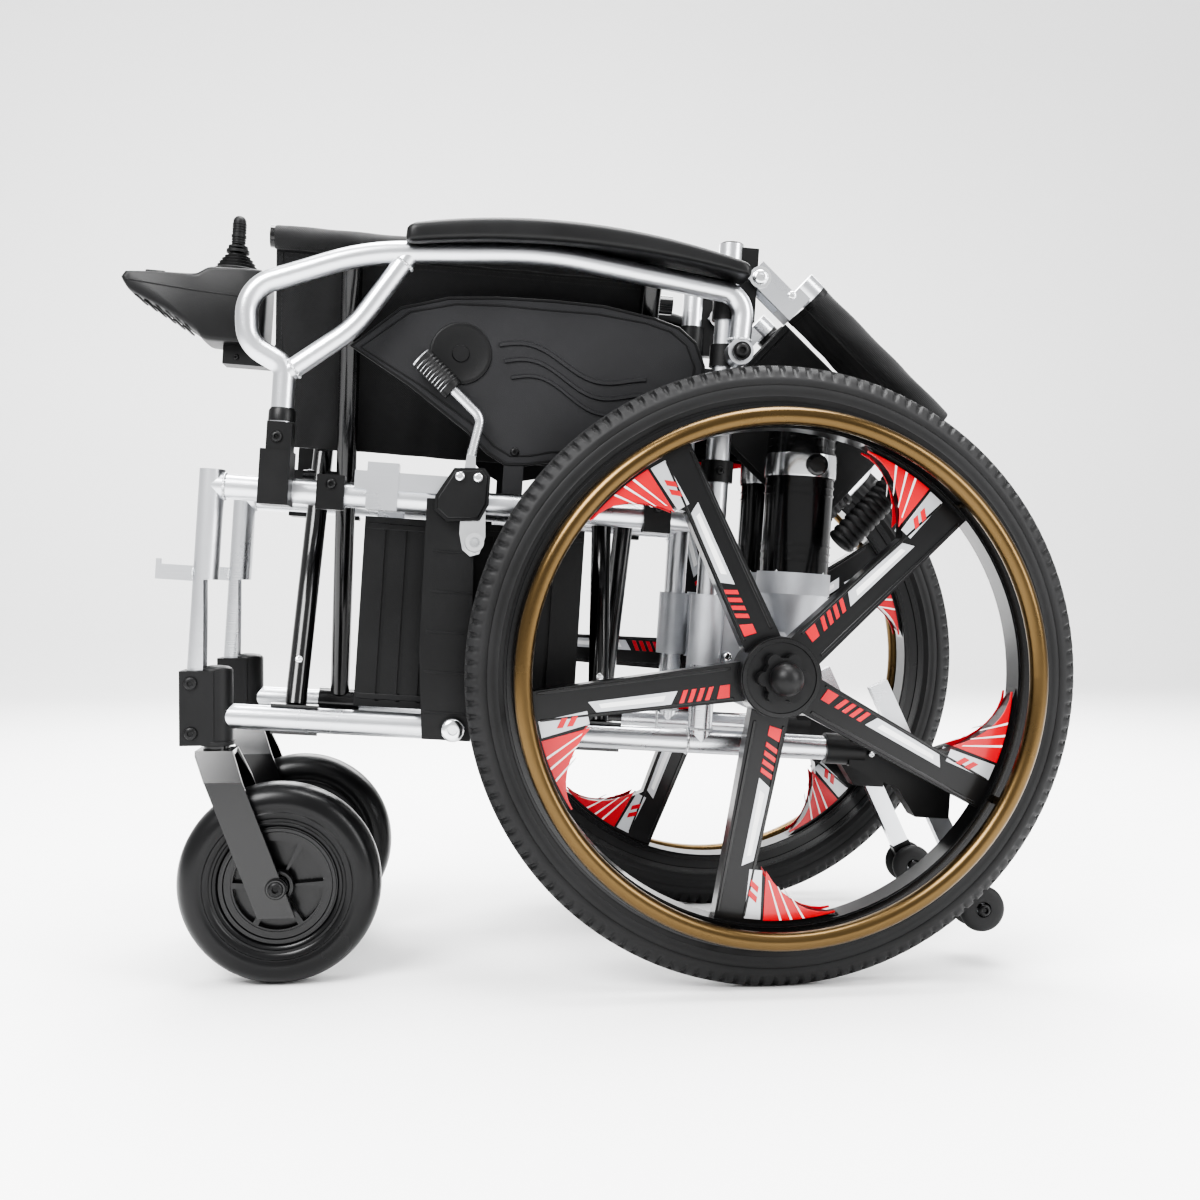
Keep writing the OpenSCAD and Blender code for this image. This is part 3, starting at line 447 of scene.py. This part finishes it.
# ---------------------------------------------------------------- frame trim
for side in SIDES:
    sign = SIDES[side]
    body = FRAME_OF[side]
    v = sign * HALF
    welds = Piece(side + "_frame_welds", body, WELD, "frame_aluminium")
    up, rear = along(0, 0, 1), along(1, 0, 0)
    for u, w, way in ((-563 + 13, 151, 1), (-60 - 13, 151, -1), (-60 - 13, -75, -1)):
        bead(welds, at(u, v, w), rear, TUBE_R - 0.2, u)
    bead(welds, at(-60, v, -62), up, TUBE_R - 0.2, 2)
    bead(welds, at(-563 - 12, v, 63.5), rear, 6.2, 1, 1.2)
    welds.done()
    ends = Piece(side + "_tube_ends", body, BLACK, "black_plastic")
    ends.revolve(at(-563, v, -60), -up, [(-0.5, 12.0), (1.6, 12.7), (4.0, 12.0), (5.0, 9.0)], 40)
    ends.revolve(at(-60, v, 434.5), up, [(-0.5, 11.4), (0.8, 11.8), (1.6, 11.0), (2.2, 8.0)], 40)
    ends.done()
    bolts = Piece(side + "_frame_bolts", body, BRIGHT, "frame_aluminium")
    for u, w, out_v, r in ((-52, 376, 8, 5.0), (-31, 401.5, 9, 6.4), (118, -77, 16, 3.6)):
        screw(bolts, at(u, sign * (HALF + out_v), w), Vector((0, sign, 0)), r, 3.2)
    screw(bolts, at(-312, sign * (HALF + TUBE_R + 7), -75), Vector((0, sign, 0)), 12.0, 5.0)
    for u in (-321, -303):
        screw(bolts, at(u, sign * (HALF + TUBE_R + 16), 176), Vector((0, sign, 0)), 5.0, 2.6)
    bolts.done()
    dark = Piece(side + "_dark_bolts", body, BLACK, "black_plastic")
    for u, w, out_v, r in ((-446, 160, 18, 5.2), (-120, 160, 18, 5.2), (-498, 200, 41, 5.6),
            (-60, 202, 16.2, 4.2), (205, -84, 13, 4.4)):
        screw(dark, at(u, sign * (HALF + out_v), w), Vector((0, sign, 0)), r, 2.8)
    screw(dark, at(-51, sign * (ARM_V + 17), 320), Vector((0, sign, 0)), 7.4, 3.0)
    dark.done()
    # Brake cover's crowned skin over the plate
    skin = Piece(side + "_brake_cover", body, BLACK, "black_plastic")
    outline = [(-326, 182), (-299, 184), (-293.5, 177), (-293.5, 151), (-300.5, 136), (-330, 133.5),
        (-341.5, 143), (-341.5, 154), (-331, 172)]
    base = HALF + TUBE_R + 14.0
    skin.prism([at(u, sign * (base - 2), w) for u, w in outline], Vector((0, sign * 3.2 * MM, 0)))
    skin.done(2.4, True, 0, 30, 4)
    hold = Piece(side + "_lever_grip", side + "_brake", GRIP, "stick_rubber")
    lever_v = sign * (HALF + TUBE_R + 8.5)
    foot = at(-333, lever_v, 261.4)
    reach = at(-367, lever_v, 290.6) - foot
    size = reach.length / MM
    profile = [(-0.6, 7), (-0.6, 10.6), (1.2, 11.6), (6, 11.8)]
    for i in range(33):
        profile.append((7 + (size - 13) * i / 32, 11.8 - 0.8 *
            (0.5 + 0.5 * math.cos(2 * math.pi * i / 4))))
    profile += [(size - 3, 11.6), (size, 10.4), (size + 1.4, 7.5), (size + 1.6, 2)]
    hold.revolve(foot, reach, profile, 40)
    hold.done()
    stripes = Piece(side + "_brake_ribs", body, PANEL_DARK, "black_plastic")
    for w in (-60, -20, 20, 60, 100):
        stripes.prism([at(-344 + abs(w) * 0.02, sign * (HALF + TUBE_R + 2.8), w),
            at(-301, sign * (HALF + TUBE_R + 2.8), w), at(-301, sign * (HALF + TUBE_R + 2.8),
            w + 2.2), at(-344, sign * (HALF + TUBE_R + 2.8), w + 2.2)],
            Vector((0, sign * 0.9 * MM, 0)))
    stripes.done(0.3)

    # Side panel: border line, three waves, disc and screws
    line = Piece(side + "_panel_border", body, PANEL_DARK, "panel_plastic")
    edge = [(-438, 299), (-391, 341), (-345, 355), (-296, 360), (-240, 362), (-188, 361),
        (-135, 353), (-108, 345), (-90, 331), (-80, 308), (-84, 270), (-110, 232), (-160, 205),
        (-232, 198), (-255, 193), (-277, 192), (-296, 202), (-317, 222), (-379, 265)]
    mid = (sum(p[0] for p in edge) / len(edge), sum(p[1] for p in edge) / len(edge))
    face_v = HALF + 4

    def shrink(p, d):
        q = Vector((p[0] - mid[0], p[1] - mid[1]))
        return (p[0] - q.x * d / q.length, p[1] - q.y * d / q.length)

    def ribbon(piece, path, wide, v0, tall, closed):
        n = len(path)
        rings = []
        for i in range(n):
            a = Vector(path[(i - 1) % n] if closed or i else path[0])
            b = Vector(path[(i + 1) % n] if closed or i < n - 1 else path[-1])
            side_way = Vector((a.y - b.y, b.x - a.x)).normalized() * wide / 2
            p = Vector(path[i])
            rings.append([at(p.x + side_way.x, sign * (v0 - 0.3), p.y + side_way.y),
                          at(p.x + side_way.x * 0.6, sign * (v0 + tall), p.y + side_way.y * 0.6),
                          at(p.x - side_way.x * 0.6, sign * (v0 + tall), p.y - side_way.y * 0.6),
                          at(p.x - side_way.x, sign * (v0 - 0.3), p.y - side_way.y)])
        if closed:
            rings.append(rings[0])
        piece.loft(rings, True, not closed)

    ribbon(line, [shrink(p, 11) for p in edge], 2.2, face_v, 0.7, True)
    ribbon(line, [shrink(p, 1.6) for p in edge], 3.2, face_v, 1.0, True)
    line.done()
    waves = Piece(side + "_panel_waves", body, PANEL, "panel_plastic")
    for i, (u0, w0) in enumerate(((-290, 312), (-284, 296), (-276, 280))):
        path = []
        for j in range(25):
            t = j / 24
            path.append((u0 + (150 - 8 * i) * t, w0 - 30 * t + 9 * math.sin(2.3 * math.pi * t)))
        ribbon(waves, path, 5.5 - 0.6 * i, face_v, 1.7, False)
    waves.done()
    disc = Piece(side + "_panel_disc", body, BLACK, "black_plastic")
    spot = at(-328, sign * face_v, 300)
    disc.revolve(spot, Vector((0, sign, 0)), [(-0.3, 31), (1.6, 30.4), (2.2, 28.5), (1.6, 26.8),
        (1.5, 9), (2.6, 8), (2.6, 3)], 64)
    disc.done()
    pins = Piece(side + "_panel_screws", body, BLACK, "black_plastic")
    for u, w in ((-268, 206), (-328, 300)):
        screw(pins, at(u, sign * face_v, w), Vector((0, sign, 0)), 4.4, 2.2)
    pins.done()

# ---------------------------------------------------------------- motors and anti-tip bars
for side in SIDES:
    sign = SIDES[side]
    body = FRAME_OF[side]
    v = sign * 62
    band = Piece(side + "_motor_band", body, BRIGHT, "black_paint")
    band.revolve(at(39, v, 0), along(0, 0, 1), [(206, 36.9), (206, 37.9), (208, 38.2), (228, 38.2),
        (230, 37.9), (230, 36.9)], 72, True)
    for k in range(4):
        a = math.radians(45 + 90 * k)
        screw(band, at(39 + 24 * math.cos(a), v + 24 * math.sin(a), 262), along(0, 0, 1), 3.2, 2.0)
        screw(band, at(39 + 33 * math.cos(a), v + 33 * math.sin(a), 105), along(0, 0, 1), 3.4, 3.0)
    band.done()
    fins = Piece(side + "_motor_rings", body, GLOSS, "black_paint")
    for w in (118, 126, 134, 188, 196, 238, 246, 254):
        fins.revolve(at(39, v, w), along(0, 0, 1), [(-1.2, 35.7), (-0.8, 36.9), (0.8, 36.9),
            (1.2, 35.7)], 60, True)
    fins.revolve(at(46, sign * 103, 218), Vector((0, sign, 0)),
        [(-0.3, 11), (2.0, 10.6), (2.6, 8.6), (1.6, 7.6), (1.6, 2)], 36)
    fins.done()
    cast = Piece(side + "_gearbox_bolts", body, BRIGHT, "cast_grey")
    for k in range(6):
        a = math.radians(30 + 60 * k)
        screw(cast, at(33 * math.cos(a), sign * 32.2, 33 * math.sin(a)), Vector((0, -sign, 0)), 3.6,
            3.0)
    for w in (14, 66):
        screw(cast, at(-38, sign * (HALF + 9), w), Vector((0, sign, 0)), 5.0, 3.4)
    cast.done()
    tip = at(248, sign * HALF, -232)
    caps = Piece(side + "_antitip_caps", body, BLACK, "black_plastic")
    end = along(124, 0, -227)
    for face in (1, -1):
        screw(caps, tip + Vector((0, sign * face * 21 * MM, 0)), Vector((0, sign * face, 0)), 6.6, 3.2)
    way = along(227, 0, 124)
    pts = []
    for x, y in ((-11, -7), (11, -7), (11, 7), (-11, 7)):
        pts.append(tip - end * 2 * MM + way * x * MM + Vector((0, y * MM, 0)))
    caps.prism(pts, end * -26 * MM)
    caps.done(1.6, True, 0, 30, 3)
    tread = Piece(side + "_antitip_tread", side + "_antitip", TYRE, "tyre_rubber")
    for k in (-1, 1):
        mid_wheel = tip + Vector((0, k * 13.5 * MM, 0))
        tread.revolve(mid_wheel, Vector((0, 1, 0)), [(-6.6, 8), (-6.9, 12), (-6.4, 17),
            (-5.6, 20.5), (-3.4, 23.2), (0, 24), (3.4, 23.2), (5.6, 20.5), (6.4, 17), (6.9, 12),
            (6.6, 8), (5.4, 7.4), (-5.4, 7.4)], 60, True)
    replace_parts(tread.done(), side + "_antitip_wheel")

# ---------------------------------------------------------------- armrests
def arc_low(t):
    return 392 - 3 * t + 15 * 4 * t * (1 - t)


def arc_top(t):
    return arc_low(t) + 20 - 6 * t + 6 * 4 * t * (1 - t)


ROOF = [(-470, 380.4), (-440, 392.1), (-425, 396.7), (-405, 399.7), (-291, 410.1), (-250, 411.8),
    (-209, 409), (-60, 391.2), (-30, 387.7)]


def roof(u):
    for (a, p), (b, q) in zip(ROOF, ROOF[1:]):
        if a <= u <= b:
            return p + (q - p) * (u - a) / (b - a)
    return 0


for side in SIDES:
    sign = SIDES[side]
    arm = side + "_armrest"
    pad = Piece(side + "_pad_skin", arm, LEATHER, "pad_leather")
    box_lo, box_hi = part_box(side + "_armrest_pad")
    centre_v = abs(box_lo[1] + box_hi[1]) / 2 / MM
    tube_off = ARM_V - centre_v
    rings = []
    for i in range(45):
        t = i / 44
        u = -388 + 340 * t
        ease = 1 - (1 - min(1, min(t, 1 - t) * 30 + 0.34)) ** 2.6
        top, low = arc_top(t), arc_low(t)
        mid_w = (top + low) / 2 - 1
        high, deep = (top - mid_w) * ease, (mid_w - low) * ease
        wide = 23 * (0.72 + 0.28 * ease)
        ring = []
        for j in range(33):
            a = math.radians(-62 + 304 * j / 32)
            x = math.copysign(abs(math.cos(a)) ** 0.42, math.cos(a)) * wide
            z = math.sin(a)
            z = (abs(z) ** 0.62 * high) if z > 0 else -(abs(z) ** 0.5 * deep)
            ring.append((x, mid_w + z))
        slot_top = min(roof(u) + 0.3, top - 4)
        floor = ring[0][1]
        half = 11.9
        left_x, right_x = tube_off - half, tube_off + half
        ring += [(left_x, floor), (left_x, max(slot_top, floor + 0.2)),
            (right_x, max(slot_top, floor + 0.2)), (right_x, floor)]
        rings.append([at(u, sign * (centre_v + x), w) for x, w in ring])
    pad.loft(rings)
    shown = pad.done(0, True, 1)
    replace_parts(shown, side + "_armrest_pad")
    joints = Piece(side + "_armrest_welds", arm, WELD, "frame_aluminium")
    bead(joints, at(-488, sign * ARM_V, 268.6), along(64, 0, 51), ARM_R - 0.6, 3, 1.4)
    bead(joints, at(-389, sign * ARM_V, 379), along(49, 0, 76), ARM_R - 1.0, 5, 1.4)
    bead(joints, at(-51, sign * ARM_V, 333), along(0, 0, 1), ARM_R, 1, 1.2)
    joints.done()
    collar = Piece(side + "_stub_collar", arm, BLACK, "black_plastic")
    collar.revolve(at(-496, sign * ARM_V, 0), along(0, 0, 1),
        [(216, 11.0), (216, 13.0), (226, 12.8), (229, 11.0)], 40, True)
    collar.done()

# ---------------------------------------------------------------- backrest: canes' clamps and grips
for side in SIDES:
    back = side + "_back"
    grip = Piece(side + "_grip_skin", back, GRIP, "stick_rubber")
    start = in_back(side, 0, 0, 250)
    axis = in_back(side, 1, 0, 250) - start
    profile = [(40, 12.2), (40, 16.6), (41.5, 17.0), (45, 17.0), (46, 15.0)]
    for i in range(0, 81):
        t = 48 + i
        rib = 0.5 + 0.5 * math.cos(2 * math.pi * i / 8)
        profile.append((t, 15.5 - 1.7 * (rib ** 3)))
    profile += [(130, 15.4), (133, 14.8), (134.6, 12.6), (135, 8.0)]
    grip.revolve(start, axis, profile, 56)
    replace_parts(grip.done(), side + "_push_grip")
    shine = Piece(side + "_back_bolts", back, BRIGHT, "frame_aluminium")
    for face in (1, -1):
        out = (in_back(side, 0, 1, 0) - in_back(side, 0, 0, 0)) * face
        screw(shine, in_back(side, 0, face * 12.9, 0), out, 8.2, 4.4)
        screw(shine, in_back(side, -10, face * 12.9, 36), out, 4.6, 2.6)
        shine.revolve(in_back(side, 0, face * 12.9, 0), out,
            [(-0.2, 11.5), (1.0, 11.2), (1.0, 8.4), (-0.2, 8.4)], 40, True)
    shine.done()
    bead_piece = Piece(side + "_cane_collar", back, BLACK, "black_plastic")
    bead_piece.revolve(in_back(side, -29, 0, 0), in_back(side, -29, 0, 1) - in_back(side, -29, 0, 0),
                       [(54.4, 12.0), (54.4, 14.4), (60, 14.2), (62, 12.0)], 40, True)
    bead_piece.done()


# ---------------------------------------------------------------- upholstery
def cloth(name, body, node, place, width, length, wrinkle, seed):
    # place(a, b, n): a across the cloth, b down from the rail, n out of its face
    piece = Piece(name, body, CLOTH, "black_cloth")
    nu, nv = 72, 40
    grid = []
    for j in range(nv + 1):
        b = length * j / nv
        row = []
        for i in range(nu + 1):
            a = width * i / nu
            fade = min(1.0, max(0.0, (b - 6) / 60))
            edge = 1 - abs(2 * i / nu - 1) ** 6
            n = wrinkle * fade * noise.noise(Vector((a * 0.021, b * 0.010 + seed, seed * 3)))
            n += wrinkle * 0.45 * fade * noise.noise(Vector((a * 0.06, b * 0.02, seed)))
            n += 0.5 * wrinkle * math.sin(a * 0.035 + seed) * fade * edge * (b / length)
            row.append(place(a, b, max(-2.2, min(2.2, n))))
        grid.append(row)
    piece.loft(grid, False, False)
    shown = piece.done(0, True, 0)
    thick = shown.modifiers.new("thick", "SOLIDIFY")
    thick.thickness = 1.7 * MM
    thick.offset = 0
    shown.modifiers.new("round", "SUBSURF").levels = 1
    shown.modifiers["round"].render_levels = 1
    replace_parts(shown, node)
    return shown


def sleeve(name, body, centre, run, radius, length, seed, material=None):
    # A cloth tube round a rail or cane, with its pulls and creases
    piece = Piece(name, body, material or CLOTH, "black_cloth")
    axis = run.normalized()
    side = axis.orthogonal().normalized()
    up = axis.cross(side)
    rings = []
    count = max(24, int(length / 5))
    for i in range(count + 1):
        c = length * i / count
        ring = []
        for j in range(36):
            a = 2 * math.pi * j / 36
            r = radius + 0.5 * noise.noise(Vector((c * 0.035 + seed, math.cos(a) * 1.3,
                math.sin(a) * 1.3)))
            r += 0.35 * math.sin(c * 0.11 + 3 * a + seed)
            ring.append(centre + axis * c * MM + (side * math.cos(a) + up * math.sin(a)) * r * MM)
        rings.append(ring)
    inner = [[centre + (p - centre) * 1.0 - ((p - centre) - axis *
        (p - centre).dot(axis)).normalized() * 1.6 * MM for p in ring]
        for ring in (rings[-1], rings[0])]
    piece.loft([inner[1]] + rings + [inner[0]], True, False)
    return piece.done(0, True, 1)


def seam(name, body, place, runs, wide=7.0, lift=1.5):
    tape = Piece(name, body, HEM, "black_cloth")
    thread = Piece(name + "_thread", body, THREAD, "black_cloth")
    for (a0, b0), (a1, b1) in runs:
        length = math.hypot(a1 - a0, b1 - b0)
        da, db = (a1 - a0) / length, (b1 - b0) / length
        n = max(2, int(length / 8))
        for face in (1, -1):
            rows = []
            for i in range(n + 1):
                a, b = a0 + da * length * i / n, b0 + db * length * i / n
                rows.append([place(a - db * wide / 2, b + da * wide / 2, face * 1.0),
                             place(a - db * wide / 2, b + da * wide / 2, face * lift),
                             place(a + db * wide / 2, b - da * wide / 2, face * lift),
                             place(a + db * wide / 2, b - da * wide / 2, face * 1.0)])
            tape.loft(rows, True, True)
        for offset in (-wide * 0.32, wide * 0.32):
            steps = int(length / 5)
            for i in range(steps):
                c = 5 * i + 1.2
                for face in (1, -1):
                    corner = []
                    for s, t in ((0, -0.35), (3.2, -0.35), (3.2, 0.35), (0, 0.35)):
                        a = a0 + da * (c + s) - db * (offset + t)
                        b = b0 + db * (c + s) + da * (offset + t)
                        corner.append((a, b))
                    low = [place(a, b, face * lift) for a, b in corner]
                    high = [place(a, b, face * (lift + 0.35)) for a, b in corner]
                    thread.add(low + high, [(3, 2, 1, 0), (4, 5, 6, 7), (0, 1, 5, 4), (1, 2, 6, 5),
                        (2, 3, 7, 6), (3, 0, 4, 7)])
    return [tape.done(0.2), thread.done(0, False)]


RAIL_Y, RAIL_W, SEAT_TILT = 79.996, 407.218, math.radians(21.8437)
for side in SIDES:
    sign = SIDES[side]

    def seat_at(a, b, n, sign=sign):
        y = RAIL_Y - b * math.sin(SEAT_TILT) + n * math.cos(SEAT_TILT)
        return at(-520 + a, sign * y, RAIL_W - b * math.cos(SEAT_TILT) - n * math.sin(SEAT_TILT))

    shown = cloth(side + "_seat_fabric", side + "_seat", side + "_seat_cloth", seat_at, 388, 219
        if side == "left" else 198, 2.6, 2.0 + sign)
    extra = seam(side + "_seat_seams", side + "_seat", seat_at,
                 [((4, 14), (4, 196)), ((384, 14), (384, 196)), ((8, 17), (380, 17))])
    start = at(-521, sign * RAIL_Y, RAIL_W)
    extra.append(sleeve(side + "_rail_sleeve", side + "_seat", start, along(1, 0, 0), RAIL_R + 0.9,
        390, 3 + sign))

for side in SIDES:
    outer_sag = math.radians(5)
    back = side + "_back"

    def outer_at(a, b, n, side=side):
        return in_back(side, -29 + b * math.sin(outer_sag) + n * math.cos(outer_sag),
                       b * math.cos(outer_sag) - n * math.sin(outer_sag), 56 + a)

    def inner_at(a, b, n, side=side):
        return in_back(side, -29 + 94 * math.sin(outer_sag) + b, 94 * math.cos(outer_sag) + n, 56 + a)

    shown = cloth(side + "_back_fabric", back, side + "_back_cloth", outer_at, 180, 90.7, 1.6, 5.0)
    extra = seam(side + "_back_seams", back, outer_at, [((4, 15), (4, 90)), ((176, 15), (176, 90)),
        ((8, 19), (172, 19))])
    low_end = in_back(side, -29, 0, 55)
    extra.append(sleeve(side + "_cane_sleeve", back, low_end, in_back(side, -29, 0, 56) - low_end,
        CANE_R + 2.0, 184, 6.5))

    shown = cloth(side + "_back_fabric_inner", side + "_back_inner", side + "_back_cloth_inner",
                  lambda a, b, n: inner_at(a, b + 3.3, n), 180, 138.6, 1.8, 9.0)
    extra = seam(side + "_back_inner_seams", side + "_back_inner", inner_at,
        [((4, 4), (4, 141)), ((176, 4), (176, 141))])

# ---------------------------------------------------------------- controller
ctl = "right_armrest"
shell = Piece("controller_skin", ctl, BLACK, "black_plastic")
outline = [(-715.5, 391), (-711.5, 397.5), (-672, 400.6), (-634, 402.6), (-616, 411.6),
    (-560, 412.6), (-552.5, 404.5), (-552.5, 332), (-560, 327.5), (-617, 326.5), (-630, 336),
    (-669, 359), (-704.5, 376)]
smooth = []
n = len(outline)
for i in range(n):
    p0, p1, p2, p3 = (Vector(outline[(i + d) % n]) for d in (-1, 0, 1, 2))
    for q in range(5):
        t = q / 5
        if (p2 - p1).length < 14:
            smooth.append(p1.lerp(p2, t))
        else:
            smooth.append(p1 + 0.5 * t * ((p2 - p0) * 0.62 + t *
                (2 * (p2 - p0) * -0.62 + 3 * (p2 - p1) * 2 - (p3 - p1) * 0.62) + t * t *
                ((p2 - p0) * 0.62 - 4 * (p2 - p1) + (p3 - p1) * 0.62)))
heart = Vector((-622, 372))
rings = []
for v, inset in ((-34.9, 6.5), (-34.4, 4.2), (-33.0, 2.2), (-30.0, 0.9), (-25, 0.3), (-12, 0),
        (0, 0), (12, 0), (25, 0.3), (30.0, 0.9), (33.0, 2.2), (34.4, 4.2), (34.9, 6.5)):
    ring = []
    for p in smooth:
        away = p - heart
        ring.append(at(p.x - away.x * inset / away.length, ARM_V + v,
            p.y - away.y * inset / away.length))
    rings.append(ring)
shell.loft(rings)
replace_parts(shell.done(), "controller_case")
mount = Piece("controller_mount", ctl, BLACK, "black_plastic")
mount.prism([at(u, ARM_V - 15.8, w) for u, w in ((-600.5, 304.5), (-524.5, 304.5), (-524.5, 324),
    (-556, 326), (-556, 334), (-600.5, 334))], Vector((0, 31.6 * MM, 0)))
for face in (1, -1):
    for u in (-585, -535):
        screw(mount, at(u, ARM_V + face * 15.8, 313), Vector((0, face, 0)), 3.4, 1.8)
mount.done(1.6, True, 0, 30, 3)
lines = Piece("controller_lines", ctl, PANEL_DARK, "black_plastic")
for v in (-35.1, 35.1):
    rings = []
    for i in range(31):
        t = i / 30
        u = -709 + 155 * t
        w = 388 - 9 * math.sin(math.pi * t * 0.5)
        rings.append([at(u, ARM_V + v, w - 0.8), at(u, ARM_V + v * 1.012, w - 0.5),
            at(u, ARM_V + v * 1.012, w + 0.5), at(u, ARM_V + v, w + 0.8)])
    lines.loft(rings)
for k in range(6):
    u = -700 + 11 * k
    w = 373.6 - 9.5 * k * 0.65
    lines.prism([at(u, ARM_V - 27, w - 1.4), at(u + 4, ARM_V - 27, w - 3.4),
        at(u + 4, ARM_V + 27, w - 3.4), at(u, ARM_V + 27, w - 1.4)], along(0, 0, 1) * 2.4 * MM)
lines.done(0.3)
keys = Piece("controller_keys", ctl, GRIP, "stick_rubber")
for k, v in enumerate((-20, 0, 20)):
    keys.prism([at(-690 + x, ARM_V + v + y, 398.4) for x, y in ((0, -6), (22, -6), (22, 6), (0, 6))],
               along(0, 0, 1) * 4.2 * MM)
keys.done(1.6, True, 0, 30, 4)
boot = Piece("stick_bellows", ctl, GRIP, "stick_rubber")
STICK_W = 409
boot.revolve(at(-593, ARM_V, 0), along(0, 0, 1), [(411.5, 26), (414.8, 26), (416, 24.5),
    (416.4, 21.6), (419.5, 22.4), (420.6, 19.2), (423.4, 20.2), (424.6, 16.6), (427.2, 17.6),
    (428.4, 13.8), (430.6, 14.6), (431.8, 11.2), (433.4, 10.6), (433.4, 9.2), (429, 12.6),
    (424, 15.2), (418, 18.4), (412, 21)], 72, True)
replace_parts(boot.done(), "joystick_boot")
knob = Piece("joystick_rings", "stick", GRIP, "stick_rubber")
for w in (38.5, 41.5, 50.5, 53.5, 56.5, 59.5):
    knob.revolve(at(-593, ARM_V, STICK_W + w), along(0, 0, 1),
        [(-0.9, 7.3), (-0.5, 8.1), (0.5, 8.1), (0.9, 7.3)], 40, True)
knob.done()

# ---------------------------------------------------------------- battery and brace trim
trim = Piece("battery_trim", "root", PANEL_DARK, "black_plastic")
lo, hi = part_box("battery")
for w in (-52, 120):
    trim.prism([at(u, -92.6, w + d) for u, d in ((-411, 0), (-192, 0), (-192, 6), (-411, 6))],
        Vector((0, 1.5 * MM, 0)))
trim.prism([at(-318, -60, 132), at(-285, -60, 132), at(-285, -44, 132), at(-318, -44, 132)],
    along(0, 0, 1) * 5 * MM)
trim.done(0.8)
for body, front in (("brace_a", -469), ("brace_b", -442)):
    nuts = Piece(body + "_nuts", body, BRIGHT, "black_paint")
    phi = math.radians(23.463)
    sign = 1 if body == "brace_a" else -1
    for u in (front, front + 304):
        screw(nuts, at(u, sign * (-HALF + 60 * math.sin(phi)), -75 + 60 * math.cos(phi)) +
              Vector((0, -sign * math.cos(phi), math.sin(phi))) * 10.2 * MM,
              Vector((0, -sign * math.cos(phi), math.sin(phi))), 4.2, 2.6)
    nuts.done()

# ---------------------------------------------------------------- stage
FLOOR = finish_material("studio_floor", (0.93, 0.93, 0.93), 0.8, 0, 3, 0.02, (1, 1, 1), 0.01, 0.6)
sweep = bpy.data.meshes.new("studio_floor")
rows = [(-6.0, 0.0), (3.2, 0.0)] + [(3.2 + 1.2 * math.sin(math.radians(a)),
    1.2 - 1.2 * math.cos(math.radians(a))) for a in range(10, 91, 10)] + [(4.4, 6.0)]
verts = [(x, y, z) for y, z in rows for x in (-7.0, 7.0)]
faces = [(2 * i, 2 * i + 1, 2 * i + 3, 2 * i + 2) for i in range(len(rows) - 1)]
sweep.from_pydata(verts, [], faces)
sweep.materials.append(FLOOR)
sweep.shade_smooth()
floor = bpy.data.objects.new("studio_floor", sweep)
bpy.context.collection.objects.link(floor)

world = bpy.data.worlds.new("studio")
bpy.context.scene.world = world
world.use_nodes = True
world.node_tree.nodes["Background"].inputs["Color"].default_value = (1, 1, 1, 1)
world.node_tree.nodes["Background"].inputs["Strength"].default_value = 0.62


def lamp(name, where, aim, size, power):
    light = bpy.data.lights.new(name, "AREA")
    light.shape = "RECTANGLE"
    light.size, light.size_y = size
    light.energy = power
    made = bpy.data.objects.new(name, light)
    made.location = where
    made.rotation_euler = (Vector(aim) - Vector(where)).to_track_quat("-Z", "Y").to_euler()
    bpy.context.collection.objects.link(made)


lamp("key", (-1.6, -2.0, 2.6), (0, 0, 0.4), (1.6, 1.6), 95)
lamp("fill", (2.4, -1.8, 1.6), (0, 0, 0.4), (1.2, 2.2), 46)
lamp("top", (0.2, 0.2, 3.2), (0, 0, 0.3), (2.6, 1.6), 120)
lamp("rear", (0.4, 2.4, 2.0), (0, 0, 0.5), (2.6, 1.4), 60)

bpy.context.scene.view_settings.look = "AgX - High Contrast"
bpy.context.scene.view_settings.exposure = 0.35
